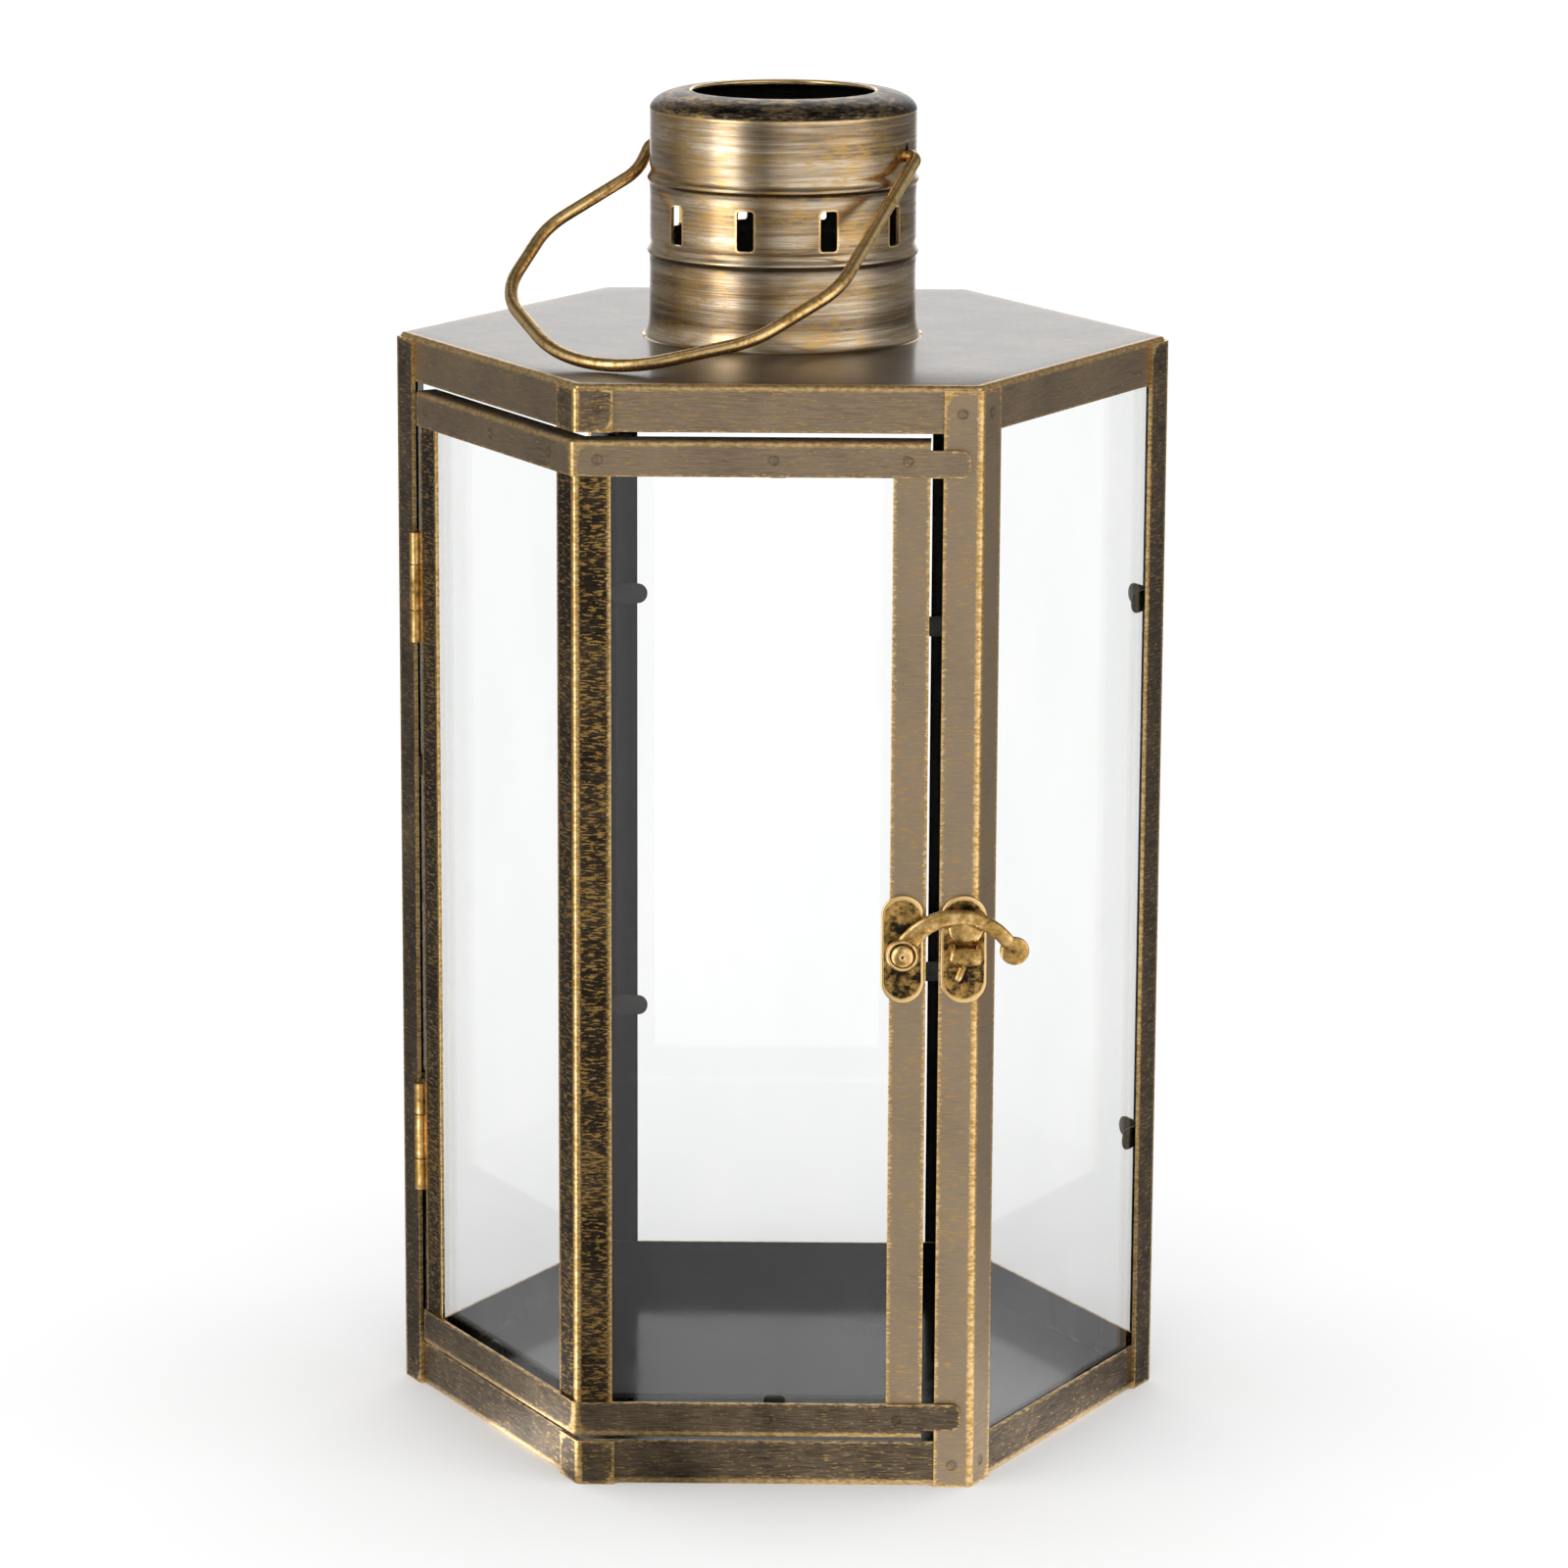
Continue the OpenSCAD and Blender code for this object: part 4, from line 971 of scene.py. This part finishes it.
def make_chimney():
    """The profile spun round the axis, with the slots' and the wire holes' quads left out
    and their rims drawn to round outlines."""
    radius, height, hollow = chimney_profile()
    slots, slot_w, slot_h, slot_r = 10, 4.0, 9.2, 0.8
    slot_z = BODY_TOP + 27.6
    wire, peak = WIRE_R + 0.1, 3.4
    places = [(-90 + 20.4 + 36 * k, slot_w / 2) for k in range(slots)]
    places += [(HANDLE_TURN, wire), (HANDLE_TURN - 180, wire)]
    inside = np.linspace(-1, 1, 9)
    turns = [np.linspace(-270, 90, 181)[:-1]]
    for angle, half in places:
        turns.append((angle + np.degrees(half * inside / WALL_R) + 270) % 360 - 270)
    turn = np.unique(np.round(np.concatenate(turns), 4))
    lines = np.concatenate([
        slot_z + slot_h / 2 * np.linspace(-1, 1, 15), PIVOT_Z + np.linspace(-wire, peak, 11)])
    rise = np.unique(np.round(np.concatenate([height, lines]), 4))
    order = np.argsort(height)
    radii = np.interp(rise, height[order], radius[order])
    # How much brown lies at each height: partly patina, partly painted shade
    shade_patina_at_height = np.interp(rise, height[order], hollow[order])
    a = np.radians(turn)[:, None]
    z = rise[None] + 0 * a
    arc = turn[:, None] + 0 * z
    keep = np.ones((len(turn), len(rise) - 1), bool)
    edge = np.full(z.shape, FAR)
    for number, (angle, half) in enumerate(places):
        off = np.radians((arc - angle + 180) % 360 - 180) * WALL_R
        if number < slots:
            up = z - slot_z
            near = (np.abs(off) <= half + 0.01) & (np.abs(up) <= slot_h / 2 + 0.01)
            p, q = np.abs(off) - (half - slot_r), np.abs(up) - (slot_h / 2 - slot_r)
            far = np.hypot(np.maximum(p, 0), np.maximum(q, 0))
            move = near & (p > 0) & (q > 0) & (far > slot_r)
            scale = np.where(move, slot_r / np.maximum(far, 1e-6), 1)
            new_off = np.where(move, np.sign(off) * (half - slot_r + p * scale), off)
            new_up = np.where(move, np.sign(up) * (slot_h / 2 - slot_r + q * scale), up)
            edge = np.minimum(edge, np.maximum(far - slot_r, 0))
        else:
            up = z - PIVOT_Z
            near = (np.abs(off) <= half + 0.01) & (up >= -wire - 0.01) & (up <= peak + 0.01)
            b = np.arctan2(up, off)
            cone = np.where(np.sin(b) > 0, 1 / (np.abs(np.cos(b)) / wire + np.abs(np.sin(b)) / peak), 0)
            rim = np.maximum(wire, cone)
            far = np.hypot(off, up)
            move = near & (far > rim)
            scale = np.where(move, rim / np.maximum(far, 1e-6), 1)
            new_off, new_up = off * scale, up * scale
            edge = np.minimum(edge, np.maximum(far - rim, 0))
        step = np.roll(near, -1, 0)
        keep &= ~(near[:, :-1] & near[:, 1:] & step[:, :-1] & step[:, 1:])
        arc = arc + np.degrees((new_off - off) / WALL_R)
        z = z + np.where(move, new_up - up, 0)
    a = np.radians(arc)
    r = radii[None] + 0 * a
    grid = np.stack([r * np.cos(a), r * np.sin(a), z], -1)
    # A gold line where the wall turns into the shoulder: partly worn-through brass, partly a painted
    # highlight
    edge = np.minimum(edge, 0.3 + np.abs(z - CHIMNEY_TOP + DOME_H))
    layers = {"edge": edge, "hollow": shade_patina_at_height[None] + 0 * z}
    mesh = surface("chimney_wall", grid, keep=keep, wrap=True, layers=layers)
    piece(mesh, "lantern", ["chimney"], ["Chimney brass", "Black enamel"], SHEET, bevel=0.1)
    make_mouth()
    outline = stadium((0, BODY_TOP - 0.9), 5, 2.4, 0.3)
    tabs = [rounded_plate("tab", outline, FOOT_R - SHEET, SHEET, side / 60, rim=0.1) for side in (95, 275)]
    piece(joined("chimney_tabs", tabs), "lantern", [], ["Chimney brass"], bevel=0)


def make_mouth():
    """The rolled edge of the mouth: a circle spun round the axis."""
    roll = 0.6
    b = np.radians(np.arange(0, 360, 30))[None]
    turn = np.radians(np.arange(0, 360, 3))[:, None]
    r = MOUTH_R + roll * np.cos(b) + 0 * turn
    z = CHIMNEY_TOP - roll + roll * np.sin(b) + 0 * turn
    grid = np.stack([r * np.cos(turn), r * np.sin(turn), z], -1)
    grid = np.concatenate([grid, grid[:, :1]], 1)
    # The rolled mouth is gold all round: partly worn-through brass, partly a painted highlight
    layers = {"edge": np.full(grid.shape[:2], 0.3), "hollow": np.zeros(grid.shape[:2])}
    mesh = closed(surface("chimney_mouth", grid, wrap=True, layers=layers))
    piece(mesh, "lantern", [], ["Chimney brass"], bevel=0)


# ---- handle ----


def rounded_path(points, radii, degrees):
    """A line through points with each corner rounded to its radius, and the heading at
    each place: straight stretches and arcs of equal steps."""
    points = np.asarray(points, float)
    places, headings = [], []
    for i in range(len(points)):
        if i in (0, len(points) - 1):
            way = points[1] - points[0] if i == 0 else points[-1] - points[-2]
            places.append(points[i])
            headings.append(math.atan2(way[1], way[0]))
            continue
        back, ahead = points[i - 1] - points[i], points[i + 1] - points[i]
        back, ahead = back / np.linalg.norm(back), ahead / np.linalg.norm(ahead)
        angle = math.acos(np.clip(back @ ahead, -1, 1))
        middle = (back + ahead) / np.linalg.norm(back + ahead)
        centre = points[i] + middle * radii[i] / math.sin(angle / 2)
        side = 1 if -back[0] * ahead[1] + back[1] * ahead[0] > 0 else -1
        first = math.atan2(-back[1], -back[0])
        steps = max(3, round(math.degrees(math.pi - angle) / degrees))
        for h in first + side * np.linspace(0, math.pi - angle, steps):
            places.append(centre + side * radii[i] * np.array([math.sin(h), -math.cos(h)]))
            headings.append(h)
    return np.array(places), np.array(headings)


def make_handle():
    """Round wire swept along the loop: a circle set square to the heading at each place."""
    arm = WALL_R + 2.6
    points = [
        (-WALL_R + 3.5, 0), (-arm, 0), (-arm + 0.9, 11.5), (-arm - 13, 34), (-arm - 13.5, 59.5),
        (-17, 88), (19.5, 70), (arm - 0.9, 50), (arm, 0), (WALL_R - 3.5, 0)]
    radii = [0, 2.3, 12, 20, 20, 30, 20, 20, 2.3, 0]
    line, heading = rounded_path(points, radii, 3)
    run = np.concatenate([[0], np.cumsum(np.linalg.norm(np.diff(line, axis=0), axis=1))])
    even = np.unique(np.round(np.concatenate([run, np.arange(0, run[-1], 1.5)]), 3))
    line = np.stack([np.interp(even, run, line[:, k]) for k in (0, 1)], -1)
    heading = np.interp(even, run, np.unwrap(heading))
    ring = np.radians(np.arange(0, 360, 15))
    left = np.stack([-np.sin(heading), np.cos(heading)], -1)
    flat = line[:, None] + WIRE_R * np.cos(ring)[None, :, None] * left[:, None]
    grid = np.concatenate([flat, (WIRE_R * np.sin(ring)[None] + 0 * flat[..., 0])[..., None]], -1)
    ends = [np.repeat(grid[k].mean(0)[None, None], len(ring), 1) for k in (0, -1)]
    grid = np.concatenate([ends[0], grid, ends[1]])
    grid[..., 1] *= -1
    lowest = grid[..., 1].min() + WIRE_R
    lay = math.asin((PIVOT_Z - BODY_TOP - WIRE_R - 0.15) / -lowest)
    y = grid[..., 1] * math.cos(lay) - grid[..., 2] * math.sin(lay)
    up = grid[..., 1] * math.sin(lay) + grid[..., 2] * math.cos(lay)
    grid = turned(np.stack([grid[..., 0], y, up + PIVOT_Z], -1), HANDLE_TURN)
    grid = np.concatenate([grid, grid[:, :1]], 1)
    mesh = closed(surface("wire_handle", grid))
    piece(mesh, "handle", ["handle"], ["Wire brass"], bevel=0)


# ---- latch ----


def spun(name, centre, profile, steps=40):
    """A profile of radius and height above the face, spun about a line square to the
    front face."""
    a = np.linspace(0, 2 * math.pi, steps + 1)[:-1, None]
    r, out = np.asarray(profile, float).T
    x = centre[0] + r[None] * np.cos(a)
    z = centre[2] + r[None] * np.sin(a)
    y = centre[1] - out[None] + 0 * a
    return closed(surface(name, np.stack([x, y, z], -1), wrap=True))


def swept(name, line, width, depth, middle):
    """An oval section carried along a line of the front face, as wide and as deep as the
    arrays say at each place."""
    heading = np.gradient(line, axis=0)
    heading /= np.linalg.norm(heading, axis=1)[:, None]
    side = np.stack([-heading[:, 1], heading[:, 0]], -1)
    ring = np.radians(np.arange(0, 361, 15))
    off = np.sign(np.cos(ring)) * np.abs(np.cos(ring)) ** 0.8
    flat = line[:, None] + side[:, None] * (width[:, None] / 2 * off)[..., None]
    out = middle - depth[:, None] / 2 * np.sin(ring)
    grid = np.stack([flat[..., 0], out, flat[..., 1]], -1)
    caps = [np.repeat(grid[k].mean(0)[None, None], len(ring), 1) for k in (0, -1)]
    return closed(surface(name, np.concatenate([caps[0], grid, caps[1]])[::-1]))


def casting(name, meshes, body, replaces, smooth):
    """Closed forms that overlap, made one casting through a fine voxel skin."""
    thing = piece(joined(name, meshes), body, replaces, ["Cast brass"], bevel=0)
    skin = thing.modifiers.new("skin", "REMESH")
    skin.mode = "VOXEL"
    skin.voxel_size = size("cast_grain") * MM
    skin.use_smooth_shade = True
    soft = thing.modifiers.new("soft", "SMOOTH")
    soft.factor = 0.5
    soft.iterations = smooth


def make_plates():
    """The latch's two long plates with round ends, each dented twice where it is riveted."""
    middle_z = (PLATE_D[0][2] + PLATE_D[1][2]) / 2
    for name, (low, high), plane, body in (
            ("latch_door_plate", PLATE_D, STRIP_PLANE, "door"),
            ("latch_frame_plate", PLATE_F, APOTHEM, "lantern")):
        wide, tall = high[0] - low[0], high[2] - low[2]
        x = (low[0] + high[0]) / 2
        outline = stadium((x, middle_z), wide, tall, wide / 2 - 0.05, 16)
        dents = [(x - 0.2, middle_z + 9, 0.28), (x - 0.2, middle_z - 8.4, 0.34)]
        plate = rounded_plate(name, outline, plane, SHEET * 0.9, rim=0.34, marks=dents)
        piece(plate, body, [name], ["Cast plate"], bevel=0)


def make_arm(x, z):
    """The swing arm, from its eye on the rivet: a bar along an arch of a circle, its width
    and depth waisted, to a ball at its free end, with the tooth that drops between the
    keeper's horns."""
    y, half = (ARM[0][1] + ARM[1][1]) / 2, (ARM[1][1] - ARM[0][1]) / 2
    run, end_rise, arch_rise, bar = 25.1, 1.2, 8.2, 3.4
    chord = math.hypot(run, end_rise)
    arch_r = (chord ** 2 / 4 + arch_rise ** 2) / (2 * arch_rise)
    centre = np.array([x + run / 2, z + end_rise / 2 + arch_rise - arch_r])
    start = math.atan2(z - centre[1], x - centre[0])
    end = math.atan2(z + end_rise - centre[1], x + run - centre[0])
    a = np.linspace(start, end, 60)
    line = centre + arch_r * np.stack([np.cos(a), np.sin(a)], -1)
    t = np.linspace(0, 1, 60)
    width = bar * (1.1 + 0.45 * (1 - t) ** 4 - 0.12 * t ** 2)
    depth = 2 * half * (0.98 - 0.12 * np.cos(2 * math.pi * t))
    eye_r, ball_r, tooth_r = 3.8, 3.35, 4.0
    eye = [(0, -half), (eye_r - 0.5, -half), (eye_r, -half + 0.5), (eye_r, half - 0.6),
           (eye_r - 0.5, half), (eye_r - 0.95, half - 0.1), (eye_r - 1.2, half - 0.5), (0, half - 0.55)]
    ball = [(ball_r * math.sin(b), half * 0.99 * -math.cos(b)) for b in np.linspace(0, math.pi, 14)]
    tooth = [(tooth_r * math.sin(b), half * 0.97 * -math.cos(b)) for b in np.linspace(0, math.pi, 12)]
    tooth_x = (KEEPER[0][0] + KEEPER[1][0]) / 2
    forms = [
        swept("bar", line, width, depth, y),
        spun("eye", (x, y, z), eye),
        spun("ball", (x + run, y, z + end_rise), ball),
        spun("tooth", (tooth_x, y + 0.1, KEEPER[1][2] + 3.5), tooth)]
    casting("latch_arm_casting", forms, "latch_arm", ["latch_arm"], 7)


def make_rivet(x, z):
    """The rivet: a low dome with a flat in its middle, on a shank through the arm."""
    low, high = RIVET
    head_r, head_h, tip = 2.55, 1.3, -low[1]
    dome = [(0, 0.0), (head_r - 0.3, 0.0), (head_r, 0.25)]
    dome += [(head_r * math.cos(b), 0.25 + 1.05 * math.sin(b)) for b in np.radians(np.linspace(8, 82, 9))]
    dome += [(0.35, head_h - 0.06), (0, head_h - 0.12)]
    shank_r, foot_r, length_up = 1.2, 1.9, tip - 1.2 + high[1]
    shank = [(0, 0), (foot_r, 0), (foot_r, 0.5), (shank_r, 0.5), (shank_r, length_up), (0, length_up)]
    forms = [spun("head", (x, head_h - tip, z), dome), spun("shank", (x, high[1], z), shank)]
    mesh = joined("latch_rivet_head", forms)
    piece(mesh, "door", ["latch_rivet"], ["Cast brass"], bevel=0)


def make_keeper():
    """A pillow of a keeper with a notch cut between two horns, and a tail that leans into
    the plate."""
    low, high = KEEPER
    r = 2.75
    x, y, z = (low[0] + high[0]) / 2, low[1] + r, high[2] - r + 0.3
    t = np.linspace(-1, 1, 33)
    bulge = r * np.sqrt(np.clip(1 - 0.12 * np.abs(t) ** 2 - 0.7 * np.abs(t) ** 7, 0.1, 1))[:, None]
    ring = np.radians(np.arange(0, 361, 12))
    notch = np.where(np.abs(t)[:, None] < 0.62, r - 1.1, r - 0.3)
    up = np.minimum(bulge * np.sin(ring), notch)
    inwards = np.minimum(y - bulge * np.cos(ring), PLATE_F[0][1] + 0.3)
    barrel = np.stack([x + 3.95 * t[:, None] + 0 * up, inwards, z + up], -1)
    caps = [np.repeat(barrel[k].mean(0)[None, None], len(ring), 1) for k in (0, -1)]
    body = closed(surface("barrel", np.concatenate([caps[0], barrel, caps[1]])))
    s = np.linspace(0, 1, 10)
    reach, lean = 5.0, math.radians(20)
    tail = np.stack([x - 0.1 - reach * s * math.sin(lean), z - r + 1 - reach * s * math.cos(lean)], -1)
    taper = 1.8 * np.sqrt(np.clip(1 - np.maximum(s - 0.8, 0) ** 2 * 18, 0.1, 1))
    hook = swept("tail", tail, taper, taper, PLATE_F[0][1] - 0.9)
    casting("latch_keeper_casting", [body, hook], "lantern", ["latch_keeper"], 3)


def make_latch():
    """The latch: its plates, and the arm and rivet on one centre, and the keeper."""
    make_plates()
    x, z = (PLATE_D[0][0] + PLATE_D[1][0]) / 2, (RIVET[0][2] + RIVET[1][2]) / 2
    make_arm(x, z)
    make_rivet(x, z)
    make_keeper()


# ---- what stays as the frame gives it ----


def dress(node, material):
    """Gives a node that keeps its own shape its finish."""
    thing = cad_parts[node]
    thing.data.materials.clear()
    thing.data.materials.append(bpy.data.materials[material])


def make_glass():
    """Gives the panes, which keep their own shape, clear glass."""
    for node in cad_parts:
        if "glass" in node:
            dress(node, "Clear glass")


def make_hinges():
    """Gives the hinge leaves and pins, which keep their own shape, drawn brass."""
    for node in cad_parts:
        if "hinge_" in node and "stile" not in node:
            dress(node, "Hinge brass")


# ---- operators ----


class LANTERN_OT_finishes(bpy.types.Operator):
    """Makes the brass, enamel and glass materials"""
    bl_idname = "lantern.finishes"
    bl_label = "Finishes"
    bl_options = {"REGISTER", "UNDO"}

    def execute(self, context):
        make_materials()
        return {"FINISHED"}


class LANTERN_OT_stage(bpy.types.Operator):
    """Adds the floor, the light and the camera"""
    bl_idname = "lantern.stage"
    bl_label = "Stage"
    bl_options = {"REGISTER", "UNDO"}

    def execute(self, context):
        make_stage()
        return {"FINISHED"}


class LANTERN_OT_roof(bpy.types.Operator):
    """Builds the folded roof"""
    bl_idname = "lantern.roof"
    bl_label = "Roof"
    bl_options = {"REGISTER", "UNDO"}

    def execute(self, context):
        make_roof()
        return {"FINISHED"}


class LANTERN_OT_base(bpy.types.Operator):
    """Builds the base pan"""
    bl_idname = "lantern.base"
    bl_label = "Base"
    bl_options = {"REGISTER", "UNDO"}

    def execute(self, context):
        make_base()
        return {"FINISHED"}


class LANTERN_OT_posts(bpy.types.Operator):
    """Builds the five corner posts and their tongues"""
    bl_idname = "lantern.posts"
    bl_label = "Posts"
    bl_options = {"REGISTER", "UNDO"}

    def execute(self, context):
        make_posts()
        return {"FINISHED"}


class LANTERN_OT_brackets(bpy.types.Operator):
    """Builds the two brackets at the open corner"""
    bl_idname = "lantern.brackets"
    bl_label = "Brackets"
    bl_options = {"REGISTER", "UNDO"}

    def execute(self, context):
        make_brackets()
        return {"FINISHED"}


class LANTERN_OT_stiles(bpy.types.Operator):
    """Builds the door's three upright strips"""
    bl_idname = "lantern.stiles"
    bl_label = "Door stiles"
    bl_options = {"REGISTER", "UNDO"}

    def execute(self, context):
        make_stiles()
        return {"FINISHED"}


class LANTERN_OT_rails(bpy.types.Operator):
    """Builds the door's two folded rails and their tongues"""
    bl_idname = "lantern.rails"
    bl_label = "Door rails"
    bl_options = {"REGISTER", "UNDO"}

    def execute(self, context):
        make_rails()
        return {"FINISHED"}


class LANTERN_OT_chimney(bpy.types.Operator):
    """Builds the spun chimney, its mouth and its tabs"""
    bl_idname = "lantern.chimney"
    bl_label = "Chimney"
    bl_options = {"REGISTER", "UNDO"}

    def execute(self, context):
        make_chimney()
        return {"FINISHED"}


class LANTERN_OT_handle(bpy.types.Operator):
    """Builds the wire handle"""
    bl_idname = "lantern.handle"
    bl_label = "Handle"
    bl_options = {"REGISTER", "UNDO"}

    def execute(self, context):
        make_handle()
        return {"FINISHED"}


class LANTERN_OT_latch(bpy.types.Operator):
    """Builds the latch's plates, arm, rivet and keeper"""
    bl_idname = "lantern.latch"
    bl_label = "Latch"
    bl_options = {"REGISTER", "UNDO"}

    def execute(self, context):
        make_latch()
        return {"FINISHED"}


class LANTERN_OT_glass(bpy.types.Operator):
    """Finishes the six panes"""
    bl_idname = "lantern.glass"
    bl_label = "Glass"
    bl_options = {"REGISTER", "UNDO"}

    def execute(self, context):
        make_glass()
        return {"FINISHED"}


class LANTERN_OT_hinges(bpy.types.Operator):
    """Finishes the hinge leaves and pins"""
    bl_idname = "lantern.hinges"
    bl_label = "Hinges"
    bl_options = {"REGISTER", "UNDO"}

    def execute(self, context):
        make_hinges()
        return {"FINISHED"}


STEPS = [
    LANTERN_OT_finishes, LANTERN_OT_stage, LANTERN_OT_roof, LANTERN_OT_base, LANTERN_OT_posts,
    LANTERN_OT_brackets, LANTERN_OT_stiles, LANTERN_OT_rails, LANTERN_OT_chimney, LANTERN_OT_handle,
    LANTERN_OT_latch, LANTERN_OT_glass, LANTERN_OT_hinges,
]


class LANTERN_PT_panel(bpy.types.Panel):
    """Lists the lantern's pieces, sizes and colours in the sidebar"""
    bl_label = "Candle Lantern"
    bl_idname = "LANTERN_PT_panel"
    bl_space_type = "VIEW_3D"
    bl_region_type = "UI"
    bl_category = "Lantern"

    def draw(self, context):
        for step in STEPS:
            self.layout.operator(step.bl_idname)
        scene = context.scene
        for values in (scene.lantern_sizes, scene.lantern_finish):
            for key in type(values).__annotations__:
                self.layout.prop(values, key)


CLASSES = [LanternSizes, LanternFinish, *STEPS, LANTERN_PT_panel]


def register():
    for made in CLASSES:
        bpy.utils.register_class(made)
    bpy.types.Scene.lantern_sizes = bpy.props.PointerProperty(type=LanternSizes)
    bpy.types.Scene.lantern_finish = bpy.props.PointerProperty(type=LanternFinish)


def unregister():
    del bpy.types.Scene.lantern_finish
    del bpy.types.Scene.lantern_sizes
    for made in reversed(CLASSES):
        bpy.utils.unregister_class(made)


def main():
    """Builds everything in order."""
    register()
    for step in STEPS:
        getattr(bpy.ops.lantern, step.bl_idname.split(".")[1])()


if __name__ == "__main__":
    main()
